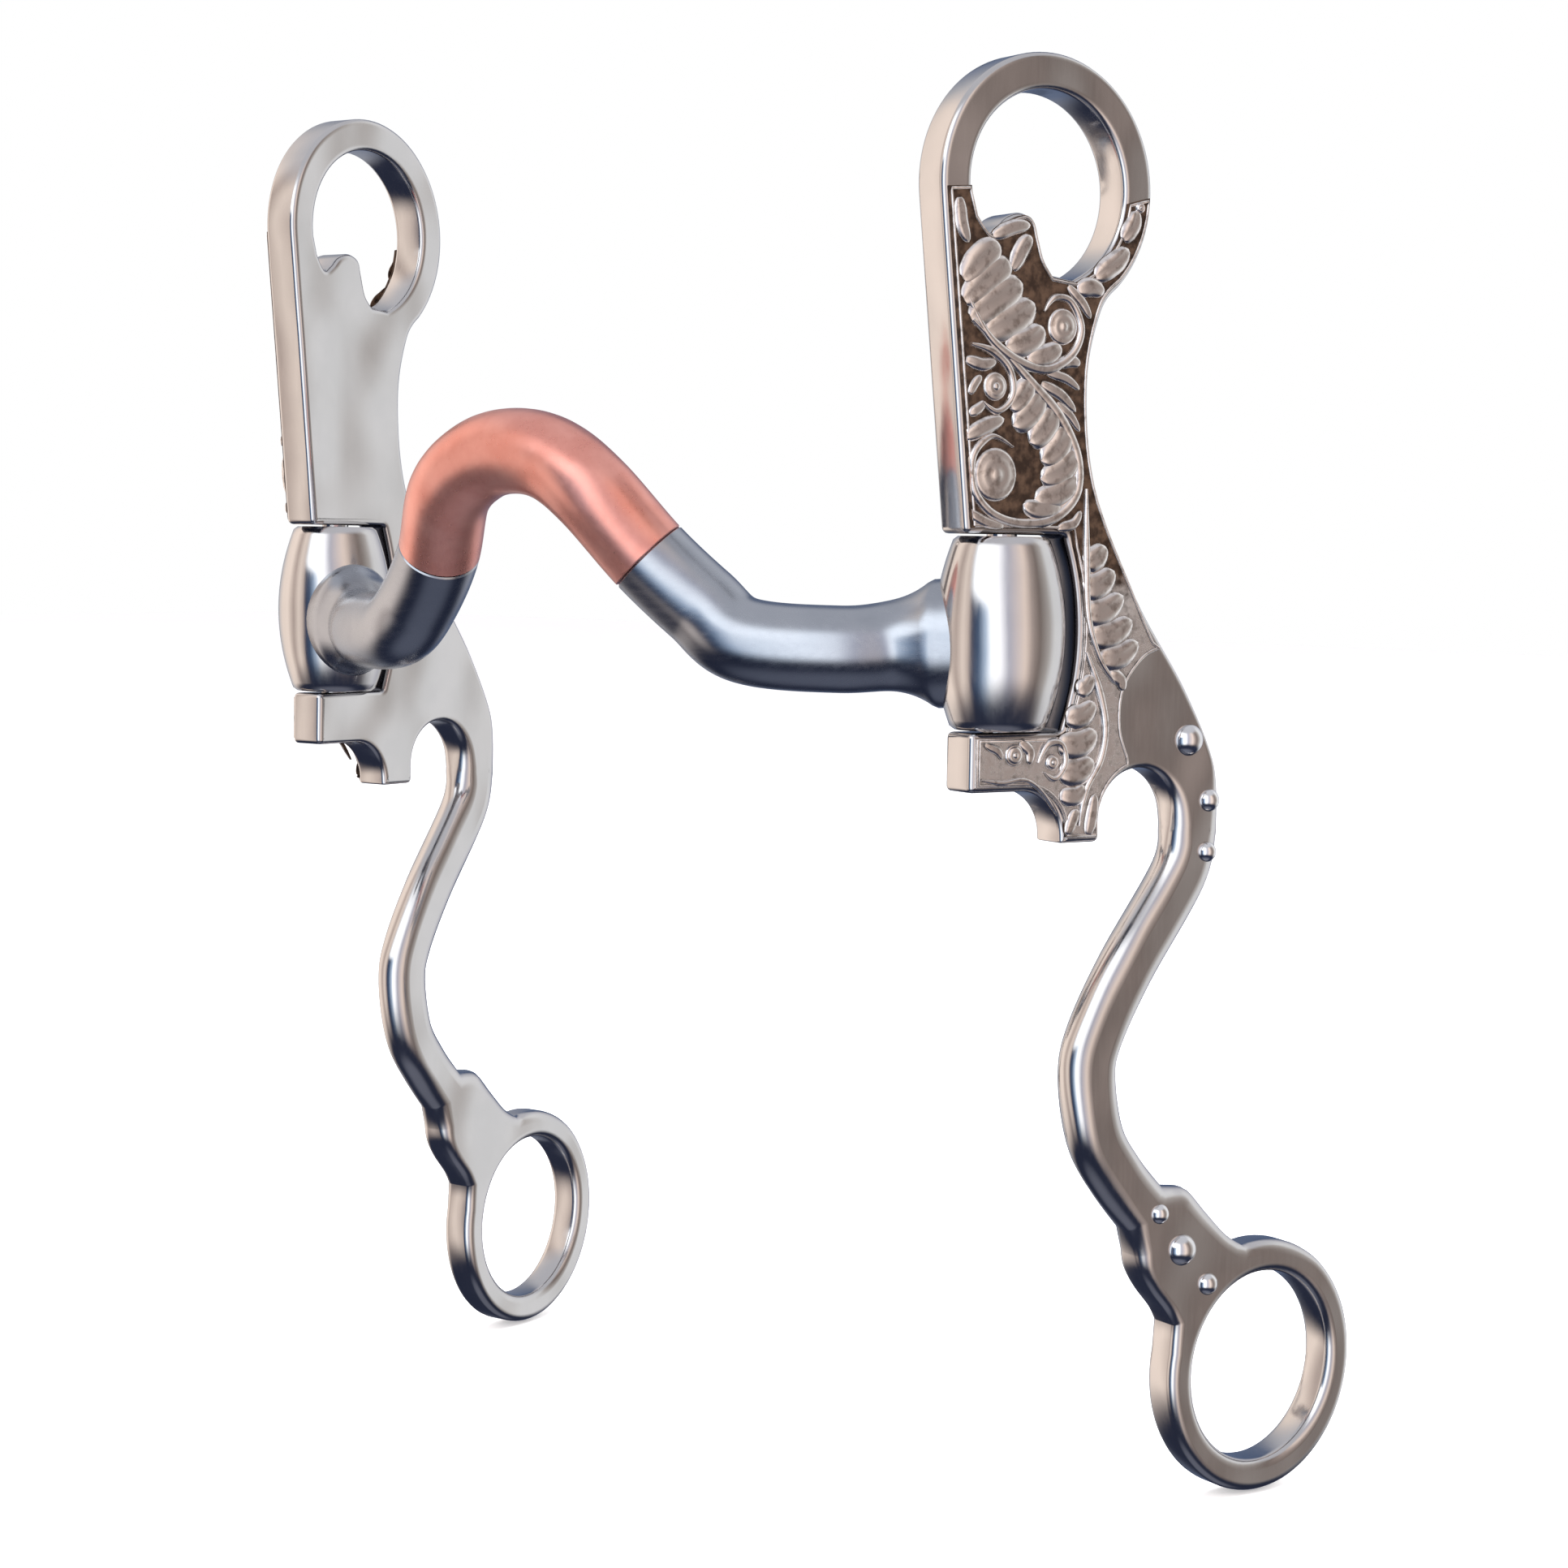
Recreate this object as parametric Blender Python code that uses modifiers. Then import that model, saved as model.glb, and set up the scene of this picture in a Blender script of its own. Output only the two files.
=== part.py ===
"""Loose-jaw curb bit: two swinging cheeks on a ported mouthpiece with a copper sleeve.

Frame: metres, +Z up, X along the mouthpiece from the left cheek (-X) to the right cheek (+X),
-Y to the front (the straight edges of the cheeks) and +Y to the rear (the rein rings). The origin is
midway between the two hinge axes, at the height of the middle of the barrels.
"""

import math

import bmesh
import bpy
from mathutils import Euler, Matrix, Vector

# Overall sizes
HINGE_SPACING = 0.134         # between the two hinge axes: a 127 mm mouth and one cheek thickness
CHEEK_THICKNESS = 0.00635     # quarter inch plate
SWING_RIGHT = -20.5           # degrees, rear edge out to +X
SWING_LEFT = 3.0              # degrees, rear edge out to -X
FIT_GAP = 0.0003              # between pieces that touch

# Bridle ring at the top of each cheek, measured from the hinge axis
BRIDLE_RING_Y = 0.0048
BRIDLE_RING_Z = 0.0631
BRIDLE_RING_OUTER = 0.0189
BRIDLE_RING_HOLE = 0.0137
HOOK_RISE = 0.0097            # of the strap hook above the bottom of the hole
HOOK_VALLEY = 0.0066          # height of the dip in front of the hook
HOOK_REAR = 0.0018            # from the hook's rear edge forward to the ring's middle

# Barrels, their notch in the cheek, and the pins
BARREL_HEIGHT = 0.0278
BARREL_MIDDLE_Z = -0.0006
BARREL_END_RADIUS = 0.0068
BARREL_MID_RADIUS = 0.0095
NOTCH_WALL_CLEARANCE = 0.0024
FRONT_EDGE_Y = -0.0087        # front edge of the cheek just above the barrel
LUG_FRONT_Y = -0.0070         # front edge of the lug under the barrel
PIN_RADIUS = 0.0022
PIN_SEAT_DEPTH = 0.0065
LUG_HEIGHT = 0.0086

# Neck, prong and curb slot
NECK_Y = 0.0128
PRONG_WIDTH = 0.0072
PRONG_DROP = 0.0078           # below the lug
PRONG_COVE = 0.0072           # radius of the cove between lug and prong
SLOT_RADIUS = 0.0075
SLOT_Y = 0.0244
SLOT_Z = -0.0280

# Shank and rein ring
SHANK_WIDTH = 0.0090
SHANK_FORWARD_Y = 0.0181      # middle of the shank where it sweeps furthest forward
SHANK_FORWARD_Z = -0.0668
SHANK_FOOT_Y = 0.0231         # from the rein ring's middle forward to the foot of the shank
SHANK_FOOT_Z = 0.0270         # and up to it
SHANK_EDGE_ROUND = 0.0029
PLATE_EDGE_ROUND = 0.0009
REIN_RING_Y = 0.0522
REIN_RING_Z = -0.1146
REIN_RING_OUTER = 0.0185      # half its width; it is a little taller than wide
REIN_RING_HOLE = 0.0139
REIN_RING_STRETCH = 1.07

# Trim on the outer faces
OVERLAY_THICKNESS = 0.0009
OVERLAY_INSET = 0.0008
STUD_LARGE = 0.0024
STUD_MEDIUM = 0.0017
STUD_SMALL = 0.0015
STUD_HEIGHT_SHARE = 0.70      # dome height over its radius

# Mouthpiece
BAR_RADIUS = 0.00635          # half inch bar
NECK_FLARE = 1.20             # of the bar radius, at the barrel
NECK_LENGTH = 0.0045
SLEEVE_WALL = 0.0011
ARM_SWEEP = 0.0180            # of the knees in front of the hinge axes
KNEE_X = 0.0345
KNEE_Z = -0.0030
PORT_RISE = 0.0248            # of the top of the port above the hinge middle
PORT_FORWARD = 0.0296         # of the top of the port in front of the hinge axes
SEAM_X = 0.0210               # of each end of the sleeve from the middle

BAR_SIDES = 4                 # bevel resolution of the swept bar
MICRO = 0.00002               # length of the step in the bar at each end of the sleeve
SHOULDER_LEAD = 0.0008        # straight length of bar behind each step, which keeps the step square

MATERIALS = {
    "satin_steel": ((0.52, 0.52, 0.54), 0.30, 1.0),
    "polished_steel": ((0.62, 0.62, 0.64), 0.18, 1.0),
    "engraved_silver": ((0.44, 0.40, 0.37), 0.35, 1.0),
    "copper": ((0.80, 0.40, 0.32), 0.35, 1.0),
    "bar_steel": ((0.40, 0.43, 0.48), 0.28, 1.0),
}


def material(name):
    if name in bpy.data.materials:
        return bpy.data.materials[name]
    colour, roughness, metallic = MATERIALS[name]
    made = bpy.data.materials.new(name)
    made.use_nodes = True
    shader = made.node_tree.nodes["Principled BSDF"]
    shader.inputs["Base Color"].default_value = (*colour, 1.0)
    shader.inputs["Roughness"].default_value = roughness
    shader.inputs["Metallic"].default_value = metallic
    return made


# ---------------------------------------------------------------- outlines in the cheek's plane (y, z)

def arc(centre, radius, start, end, steps, stretch=1.0):
    """Points on a circle from one angle to another, in degrees; stretch makes it taller."""
    points = []
    for i in range(steps + 1):
        angle = math.radians(start + (end - start) * i / steps)
        points.append((centre[0] + radius * math.cos(angle),
                       centre[1] + radius * stretch * math.sin(angle)))
    return points


def flow(guides, steps):
    """A smooth curve through guide points, without its last point."""
    ends = [guides[0], *guides, guides[-1]]
    points = []
    for a, b, c, d in zip(ends, ends[1:], ends[2:], ends[3:]):
        for i in range(steps):
            t = i / steps
            points.append(tuple(
                0.5 * (2 * q + (r - p) * t + (2 * p - 5 * q + 4 * r - s) * t * t
                       + (3 * q - p - 3 * r + s) * t ** 3)
                for p, q, r, s in zip(a, b, c, d)))
    return points


def barrel_radius(z, clearance=0.0):
    """Radius of the bulged barrel at a height: an arc from end to end."""
    half = BARREL_HEIGHT / 2
    bulge = BARREL_MID_RADIUS - BARREL_END_RADIUS
    return BARREL_END_RADIUS + bulge * (1 - (z / half) ** 2) + clearance


NOTCH_TOP = BARREL_MIDDLE_Z + BARREL_HEIGHT / 2 + FIT_GAP
NOTCH_BOTTOM = BARREL_MIDDLE_Z - BARREL_HEIGHT / 2 - FIT_GAP
LUG_BOTTOM = NOTCH_BOTTOM - LUG_HEIGHT
PRONG_BOTTOM = LUG_BOTTOM - PRONG_DROP
PRONG_REAR_Y = SLOT_Y - SLOT_RADIUS


def front_tangent():
    """Angle on the bridle ring where the straight front edge meets it."""
    dy = BRIDLE_RING_Y - FRONT_EDGE_Y
    dz = BRIDLE_RING_Z - NOTCH_TOP
    lean = math.asin(BRIDLE_RING_OUTER / math.hypot(dy, dz))
    return math.degrees(math.atan2(dz, dy) + lean) + 90


def shank_line():
    """Middle of the shank from beside the curb slot down to its foot above the rein ring."""
    top = Vector((SLOT_Y + SLOT_RADIUS + SHANK_WIDTH / 2, SLOT_Z - 0.002))
    forward = Vector((SHANK_FORWARD_Y, SHANK_FORWARD_Z))
    foot = Vector((REIN_RING_Y - SHANK_FOOT_Y, REIN_RING_Z + SHANK_FOOT_Z))
    sweep = forward - top
    fall = foot - forward
    return [top,
            top + Vector((sweep.x * 0.09, sweep.y * 0.19)),
            top + Vector((sweep.x * 0.62, sweep.y * 0.56)),
            top + Vector((sweep.x * 0.93, sweep.y * 0.83)),
            forward,
            forward + Vector((fall.x * 0.17, fall.y * 0.44)),
            forward + Vector((fall.x * 0.56, fall.y * 0.75)),
            foot]


def shank_edges():
    """Rear and front edges of the shank, each from the top down."""
    middle = flow(shank_line(), 4) + [tuple(shank_line()[-1])]
    rear, front = [], []
    for i, point in enumerate(middle):
        before = Vector(middle[max(i - 1, 0)])
        after = Vector(middle[min(i + 1, len(middle) - 1)])
        along = (after - before).normalized()
        out = Vector((-along.y, along.x)) * SHANK_WIDTH / 2
        here = Vector(point)
        rear.append(tuple(here + out))
        front.append(tuple(here - out))
    return rear, front


def neck_guides(inset=0.0):
    """Guide points of the rear edge from the bridle ring down to beside the curb slot."""
    ring = (BRIDLE_RING_Y, BRIDLE_RING_Z)
    ring_foot = Vector(arc(ring, BRIDLE_RING_OUTER - inset, -44, -44, 1)[0])
    hip = SLOT_Y + SLOT_RADIUS + SHANK_WIDTH
    return [ring_foot,
            Vector((NECK_Y + 0.0022 - inset, ring_foot.y - 0.0040)),
            Vector((NECK_Y - inset, BRIDLE_RING_Z - 0.0275)),
            Vector((NECK_Y + 0.0020 - inset, NOTCH_TOP + 0.0070)),
            Vector((NECK_Y + 0.0102 - inset, NOTCH_TOP - 0.0090)),
            Vector((hip - 0.0080 - inset, SLOT_Z + 0.0190)),
            Vector((hip - 0.0018 - inset, SLOT_Z + 0.0075))]


def cheek_outline():
    """Outer outline of a cheek, from the notch's top front corner round by the ring and the rear."""
    ring = (BRIDLE_RING_Y, BRIDLE_RING_Z)
    rein = Vector((REIN_RING_Y, REIN_RING_Z))
    rear_edge, front_edge = shank_edges()
    points = [(FRONT_EDGE_Y, NOTCH_TOP)]
    points += arc(ring, BRIDLE_RING_OUTER, front_tangent(), -44, 22)[:-1]
    points += flow(neck_guides() + [Vector(rear_edge[0])], 4)
    points += rear_edge
    points += flow([rein + Vector(p) for p in
                    ((-0.0180, 0.0299), (-0.0148, 0.0291), (-0.0110, 0.0252), (-0.0075, 0.0217),
                     (-0.0050, 0.0200))], 2)
    points += arc(rein, REIN_RING_OUTER, 102, -192, 28, REIN_RING_STRETCH)
    points += flow([rein + Vector(p) for p in
                    ((-0.0178, 0.0085), (-0.0192, 0.0108), (-0.0222, 0.0142), (-0.0244, 0.0176),
                     (-0.0252, 0.0205))], 3)
    points += front_edge[::-1]
    points += arc((SLOT_Y, SLOT_Z), SLOT_RADIUS, 0, 180, 9)
    points += [(PRONG_REAR_Y, PRONG_BOTTOM), (PRONG_REAR_Y - PRONG_WIDTH, PRONG_BOTTOM)]
    cove = (PRONG_REAR_Y - PRONG_WIDTH - PRONG_COVE, LUG_BOTTOM - PRONG_COVE)
    points += arc(cove, PRONG_COVE, 0, 90, 6)
    points += [(LUG_FRONT_Y, LUG_BOTTOM), (LUG_FRONT_Y, NOTCH_BOTTOM)]
    points += notch_wall(8)
    return points


def notch_wall(steps):
    """Rear wall of the notch, from the bottom up, following the bulge of the barrel."""
    points = []
    for i in range(steps + 1):
        z = NOTCH_BOTTOM + (NOTCH_TOP - NOTCH_BOTTOM) * i / steps
        level = min(abs(z - BARREL_MIDDLE_Z), BARREL_HEIGHT / 2)
        points.append((barrel_radius(level, NOTCH_WALL_CLEARANCE), z))
    return points


def bridle_hole(grow=0.0):
    """The ring's hole with the strap hook standing up in its lower front."""
    ring = (BRIDLE_RING_Y, BRIDLE_RING_Z)
    radius = BRIDLE_RING_HOLE
    base = BRIDLE_RING_Z - radius
    valley_y = BRIDLE_RING_Y + 0.0008 - math.sqrt(radius ** 2 - (radius - HOOK_VALLEY) ** 2)
    valley = Vector((valley_y + grow, base + HOOK_VALLEY - grow))
    top = base + HOOK_RISE - grow
    rear = BRIDLE_RING_Y - HOOK_REAR - grow
    points = arc(ring, radius + grow, -70, 187, 20)
    points += flow([(valley.x - 0.0018 - 1.5 * grow, valley.y + 0.0024),
                    tuple(valley),
                    (valley.x + 0.0018, valley.y + 0.0008),
                    (valley.x + 0.0036, top - 0.0007),
                    (valley.x + 0.0060, top),
                    (rear - 0.0008, top - 0.0009),
                    (rear, top - 0.0032),
                    (rear + 0.0011, base + 0.0031),
                    (rear + 0.0030, base + 0.0011 - grow)], 3)
    return points


# ---------------------------------------------------------------- making objects

def start_scene():
    for old in list(bpy.data.objects):
        bpy.data.objects.remove(old)
    main = bpy.data.collections.new("curb_bit")
    cutters = bpy.data.collections.new("cutters")
    for made in (main, cutters):
        bpy.context.scene.collection.children.link(made)
    return main, cutters


PARTS, CUTTERS = start_scene()


def hide_cutter(obj):
    obj.hide_render = True
    obj.display_type = "WIRE"
    return obj


def weld(mesh):
    """Join a converted curve's loose caps to its walls."""
    work = bmesh.new()
    work.from_mesh(mesh)
    bmesh.ops.remove_doubles(work, verts=work.verts, dist=0.000004)
    bmesh.ops.recalc_face_normals(work, faces=work.faces)
    work.to_mesh(mesh)
    work.free()


def mesh_from_curve(curve, name, turn=None):
    """A mesh object from a curve, welded, with its place in its mesh."""
    holder = bpy.data.objects.new(name + "_curve", curve)
    PARTS.objects.link(holder)
    bpy.context.view_layer.update()
    evaluated = holder.evaluated_get(bpy.context.evaluated_depsgraph_get())
    mesh = bpy.data.meshes.new_from_object(evaluated)
    bpy.data.objects.remove(holder)
    if turn:
        mesh.transform(turn.to_matrix().to_4x4())
    weld(mesh)
    return bpy.data.objects.new(name, mesh)


def plate(name, outlines, thickness):
    """A flat plate in the cheek's plane from an outline and the outlines of its holes."""
    curve = bpy.data.curves.new(name, "CURVE")
    curve.dimensions = "2D"
    curve.fill_mode = "BOTH"
    curve.extrude = thickness / 2
    for outline in outlines:
        spline = curve.splines.new("POLY")
        spline.points.add(len(outline) - 1)
        for point, (y, z) in zip(spline.points, outline):
            point.co = (y, z, 0, 1)
        spline.use_cyclic_u = True
    return mesh_from_curve(curve, name, Euler((math.pi / 2, 0, math.pi / 2)))


def smooth(obj, angle=40):
    obj.data.shade_smooth()
    obj.data.set_sharp_from_angle(angle=math.radians(angle))


def cut(obj, cutter):
    """Cut one object out of another and apply it."""
    cutter.name = obj.name + "_cutter"
    CUTTERS.objects.link(hide_cutter(cutter))
    step = obj.modifiers.new("cut", "BOOLEAN")
    step.operation = "DIFFERENCE"
    step.solver = "EXACT"
    step.object = cutter


def turned(name, profile, steps=32):
    """A solid turned about Z from (radius, z) points that run down its outer side."""
    mesh = bpy.data.meshes.new(name)
    work = bmesh.new()
    verts = [work.verts.new((radius, 0, z)) for radius, z in profile]
    for a, b in zip(verts, verts[1:]):
        work.edges.new((a, b))
    work.to_mesh(mesh)
    work.free()
    made = bpy.data.objects.new(name, mesh)
    spin = made.modifiers.new("turn", "SCREW")
    spin.steps = steps
    spin.render_steps = steps
    spin.use_merge_vertices = True
    spin.merge_threshold = 0.00001
    spin.use_normal_calculate = False
    return made


def place(obj, parent, looks):
    """Put a finished piece in the part's collection, under its parent, in its material."""
    PARTS.objects.link(obj)
    obj.parent = parent
    obj.data.materials.clear()
    obj.data.materials.append(material(looks))
    return obj


# ---------------------------------------------------------------- the pieces

def edge_round(y, z):
    """Share of the full edge rounding at a place on the outline: full on the shank."""
    beside_slot = y > SLOT_Y
    low = REIN_RING_Z + REIN_RING_OUTER * REIN_RING_STRETCH
    if not (low - 0.004 < z < SLOT_Z + 0.008 and (beside_slot or z < PRONG_BOTTOM - 0.004)):
        on_rein_ring = z <= low - 0.004
        return 0.5 if on_rein_ring else PLATE_EDGE_ROUND / SHANK_EDGE_ROUND
    into_slot = min(max((SLOT_Z + 0.008 - z) / 0.012, 0), 1)
    into_ring = min(max((z - low + 0.004) / 0.012, 0), 1)
    least = PLATE_EDGE_ROUND / SHANK_EDGE_ROUND
    return min(least + (1 - least) * into_slot, 0.5 + 0.5 * into_ring)


def inward(loop, is_hole):
    """For each point of a closed outline, the step that moves its walls one unit into the metal."""
    points = [Vector(p) for p in loop]
    area = sum(p.x * q.y - q.x * p.y for p, q in zip(points, points[1:] + points[:1]))
    side = 1 if (area > 0) != is_hole else -1
    steps = []
    for i, here in enumerate(points):
        before = (here - points[i - 1]).normalized()
        after = (points[(i + 1) % len(points)] - here).normalized()
        first = Vector((-before.y, before.x)) * side
        middle = (first + Vector((-after.y, after.x)) * side).normalized()
        steps.append(middle / max(middle.dot(first), 0.6))
    return steps


def rounded_plate(name, outlines, thickness, segments):
    """A plate lofted through sections of its outline, drawn in towards each face to round its edges."""
    sections = []
    for face in (-1, 1):
        turns = [math.pi / 2 * i / segments for i in range(segments + 1)]
        for turn in turns if face > 0 else turns[::-1]:
            sections.append((face, math.sin(turn), 1 - math.cos(turn)))
    work = bmesh.new()
    ends = [[], []]
    for number, outline in enumerate(outlines):
        steps = inward(outline, number > 0)
        rings = []
        for face, rise, draw in sections:
            ring = []
            for (y, z), step in zip(outline, steps):
                radius = SHANK_EDGE_ROUND * edge_round(y, z)
                x = face * (thickness / 2 - radius + radius * rise)
                ring.append(work.verts.new((x, y + step.x * radius * draw, z + step.y * radius * draw)))
            rings.append(ring)
        for one, two in zip(rings, rings[1:]):
            for i in range(len(one)):
                work.faces.new((one[i - 1], one[i], two[i], two[i - 1]))
        for end, ring in zip(ends, (rings[0], rings[-1])):
            end += [work.edges.get((ring[i - 1], ring[i])) for i in range(len(ring))]
    for end, way in zip(ends, (-1, 1)):
        bmesh.ops.triangle_fill(work, edges=end, use_beauty=True, normal=(way, 0, 0))
    bmesh.ops.recalc_face_normals(work, faces=work.faces)
    mesh = bpy.data.meshes.new(name)
    work.to_mesh(mesh)
    work.free()
    return bpy.data.objects.new(name, mesh)


def cheek(name, parent):
    """One cheek plate with its hole, rings, notch, prong and shank."""
    rein_hole = arc((REIN_RING_Y, REIN_RING_Z), REIN_RING_HOLE, 0, 345, 23, REIN_RING_STRETCH)
    made = rounded_plate(name, [cheek_outline(), bridle_hole(), rein_hole], CHEEK_THICKNESS, 2)
    seat = pin_solid(name + "_seat", FIT_GAP)
    place(made, parent, "satin_steel")
    seat.parent = parent
    cut(made, seat)
    smooth(made)
    return made


def pin_solid(name, gap):
    """The hinge pin, or with a gap the seat cut for it above and below the notch."""
    top = NOTCH_TOP + PIN_SEAT_DEPTH + gap
    bottom = NOTCH_BOTTOM - PIN_SEAT_DEPTH - gap
    radius = PIN_RADIUS + gap
    return turned(name, [(0, top), (radius, top), (radius, bottom), (0, bottom)], 20)


def overlay_outline():
    """Outline of the engraved panel on the outer face, inside the cheek's own edges."""
    ring = (BRIDLE_RING_Y, BRIDLE_RING_Z)
    inset = OVERLAY_INSET
    tangent = front_tangent()
    lean = math.radians(tangent - 180)
    step = Vector((math.cos(lean), math.sin(lean))) * inset
    points = [(FRONT_EDGE_Y + step.x, NOTCH_TOP + inset)]
    points += arc(ring, BRIDLE_RING_OUTER - inset, tangent, 184, 1)
    hole = bridle_hole(inset / 2)
    level = ring[1] - 0.0009
    points += [(ring[0] - BRIDLE_RING_HOLE - inset / 2, level)]
    points += [p for p in hole[20:] if p[1] < level]
    points += [p for p in hole[:20] if p[1] < level and p[0] > ring[0]]
    points += arc(ring, BRIDLE_RING_OUTER - inset, -3, -44, 4)[:-1]
    hip = SLOT_Y + SLOT_RADIUS + SHANK_WIDTH
    patch = Vector((SLOT_Y, SLOT_Z))
    points += flow(neck_guides(inset)[:5] + [Vector((hip - 0.0148, SLOT_Z + 0.0258))], 4)
    points += flow([patch + Vector(p) for p in
                    ((0.0030, 0.0252), (-0.0006, 0.0236), (-0.0040, 0.0192), (-0.0044, 0.0135),
                     (-0.0026, SLOT_RADIUS + inset * 1.6))], 3)
    points += arc(patch, SLOT_RADIUS + inset, 108, 180, 6)
    points += [(PRONG_REAR_Y - inset, PRONG_BOTTOM + inset),
               (PRONG_REAR_Y - PRONG_WIDTH + inset, PRONG_BOTTOM + inset)]
    cove = (PRONG_REAR_Y - PRONG_WIDTH - PRONG_COVE, LUG_BOTTOM - PRONG_COVE)
    points += arc(cove, PRONG_COVE + inset, 0, 90, 6)
    points += [(LUG_FRONT_Y + inset, LUG_BOTTOM + inset), (LUG_FRONT_Y + inset, NOTCH_BOTTOM - inset)]
    wall = notch_wall(8)
    points += [(wall[0][0] + inset, NOTCH_BOTTOM - inset)]
    points += [(y + inset, z) for y, z in wall[1:-1]]
    points += [(wall[-1][0] + inset, NOTCH_TOP + inset)]
    return points


def overlay(name, parent, side):
    made = plate(name, [overlay_outline()], OVERLAY_THICKNESS)
    middle = CHEEK_THICKNESS / 2 + FIT_GAP + OVERLAY_THICKNESS / 2
    made.location.x = side * middle
    return place(made, parent, "engraved_silver")


def stud(name, parent, side, place_yz, radius):
    """A domed stud on the outer face: the cap of a ball, turned to face outwards."""
    height = radius * STUD_HEIGHT_SHARE
    ball = (radius ** 2 + height ** 2) / (2 * height)
    reach = math.asin(radius / ball)
    profile = [(ball * math.sin(reach * i / 4), ball * math.cos(reach * i / 4) - ball + height)
               for i in range(5)]
    made = turned(name, profile + [(0, 0)], 14)
    made.rotation_euler = (0, side * math.pi / 2, 0)
    made.location = (side * (CHEEK_THICKNESS / 2 + FIT_GAP), *place_yz)
    place(made, parent, "polished_steel")
    smooth(made)
    return made


def stud_places():
    """Name, place and radius of each stud: three beside the slot and three above the rein ring."""
    hip = SLOT_Y + SLOT_RADIUS + SHANK_WIDTH
    ring = Vector((REIN_RING_Y, REIN_RING_Z))
    return [("upper_large_stud", (hip - 0.0074, SLOT_Z + 0.0115), STUD_LARGE),
            ("upper_medium_stud", (hip - 0.0031, SLOT_Z + 0.0023), STUD_MEDIUM),
            ("upper_small_stud", (hip - 0.0032, SLOT_Z - 0.0055), STUD_SMALL),
            ("lower_small_stud", tuple(ring + Vector((-0.0218, 0.0264))), STUD_SMALL),
            ("lower_large_stud", tuple(ring + Vector((-0.0172, 0.0204))), STUD_LARGE),
            ("lower_medium_stud", tuple(ring + Vector((-0.0119, 0.0145))), STUD_MEDIUM)]


def barrel_profile(gap=0.0):
    """Outer side of the barrel, top to bottom, with a small flat chamfer at each end."""
    half = BARREL_HEIGHT / 2
    edge = 0.0005
    rows = 10
    points = [(barrel_radius(half) - edge + gap, half + gap)]
    for i in range(rows + 1):
        z = half - edge - (2 * half - 2 * edge) * i / rows
        points.append((barrel_radius(z) + gap, z))
    points.append((barrel_radius(half) - edge + gap, -half - gap))
    return [(radius, BARREL_MIDDLE_Z + z) for radius, z in points]


def barrel(name, parent):
    """A bulged barrel bored for its pin."""
    bore = PIN_RADIUS + FIT_GAP
    outside = barrel_profile()
    profile = [(bore, outside[0][1])] + outside + [(bore, outside[-1][1]), (bore, outside[0][1])]
    made = place(turned(name, profile), parent, "satin_steel")
    smooth(made)
    return made


def half_bar():
    """Middle line of the right half of the bar, from the hinge axis to the top of the port."""
    hinge = HINGE_SPACING / 2
    guides = [(hinge, 0, KNEE_Z + 0.0013),
              (hinge - 0.0130, -ARM_SWEEP * 0.33, KNEE_Z + 0.0003),
              ((hinge + KNEE_X) / 2 - 0.0040, -ARM_SWEEP * 0.66, KNEE_Z - 0.0004),
              (KNEE_X, -ARM_SWEEP, KNEE_Z + 0.0006),
              (KNEE_X - 0.0065, -ARM_SWEEP - 0.0021, KNEE_Z + 0.0055),
              (SEAM_X, -PORT_FORWARD + 0.0060, KNEE_Z + 0.0125),
              (SEAM_X * 0.68, -PORT_FORWARD + 0.0012, PORT_RISE - 0.0062),
              (SEAM_X * 0.35, -PORT_FORWARD + 0.0002, PORT_RISE - 0.0014),
              (0, -PORT_FORWARD, PORT_RISE)]
    mirrored = [(-x, y, z) for x, y, z in guides[-2::-1]]
    whole = [Vector(p) for p in flow(guides + mirrored[:1], 4)]
    return whole[:4 * (len(guides) - 1) + 1]


def bar_route():
    half = half_bar()
    other = [Vector((-p.x, p.y, p.z)) for p in half[-2::-1]]
    return half + other


def swept(name, route, radii):
    """A round bar swept along points, with its own radius at each."""
    curve = bpy.data.curves.new(name, "CURVE")
    curve.dimensions = "3D"
    curve.bevel_depth = 1.0
    curve.bevel_resolution = BAR_SIDES
    curve.use_fill_caps = True
    curve.twist_mode = "MINIMUM"
    spline = curve.splines.new("POLY")
    spline.points.add(len(route) - 1)
    for point, where, radius in zip(spline.points, route, radii):
        point.co = (*where, 1)
        point.radius = radius
    return mesh_from_curve(curve, name)


def seam_index(route):
    """Number of the first point of the bar's middle line that lies inside the sleeve's end."""
    return next(i for i, where in enumerate(route) if where.x <= SEAM_X)


def mouth_bar(parent):
    """The one-piece bar: flared at the barrels and turned down under the sleeve."""
    route = bar_route()
    first = seam_index(route)
    last = len(route) - 1 - first
    core = BAR_RADIUS - SLEEVE_WALL - FIT_GAP
    points, radii = [], []
    hinge = HINGE_SPACING / 2
    start = BARREL_MID_RADIUS
    for i, where in enumerate(route):
        from_hinge = hinge - abs(where.x)
        flare = max(0.0, 1 - max(from_hinge - start, 0) / NECK_LENGTH) ** 2
        radius = BAR_RADIUS * (1 + (NECK_FLARE - 1) * flare)
        if first < i < last:
            radius = core
        if i == first:
            along = (route[i + 1] - where).normalized()
            points += [where - along * SHOULDER_LEAD, where - along * MICRO, where]
            radii += [radius, radius, core]
        elif i == last:
            along = (where - route[i - 1]).normalized()
            points += [where, where + along * MICRO, where + along * SHOULDER_LEAD]
            radii += [core, radius, radius]
        elif from_hinge > 0.002:
            points.append(where)
            radii.append(radius)
    made = place(swept("mouthpiece_bar", points, radii), parent, "bar_steel")
    for side in (-1, 1):
        cutter = turned("barrel_clearance", closed(barrel_profile(FIT_GAP)))
        cutter.location.x = side * hinge
        cut(made, cutter)
    smooth(made)
    return made


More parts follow.
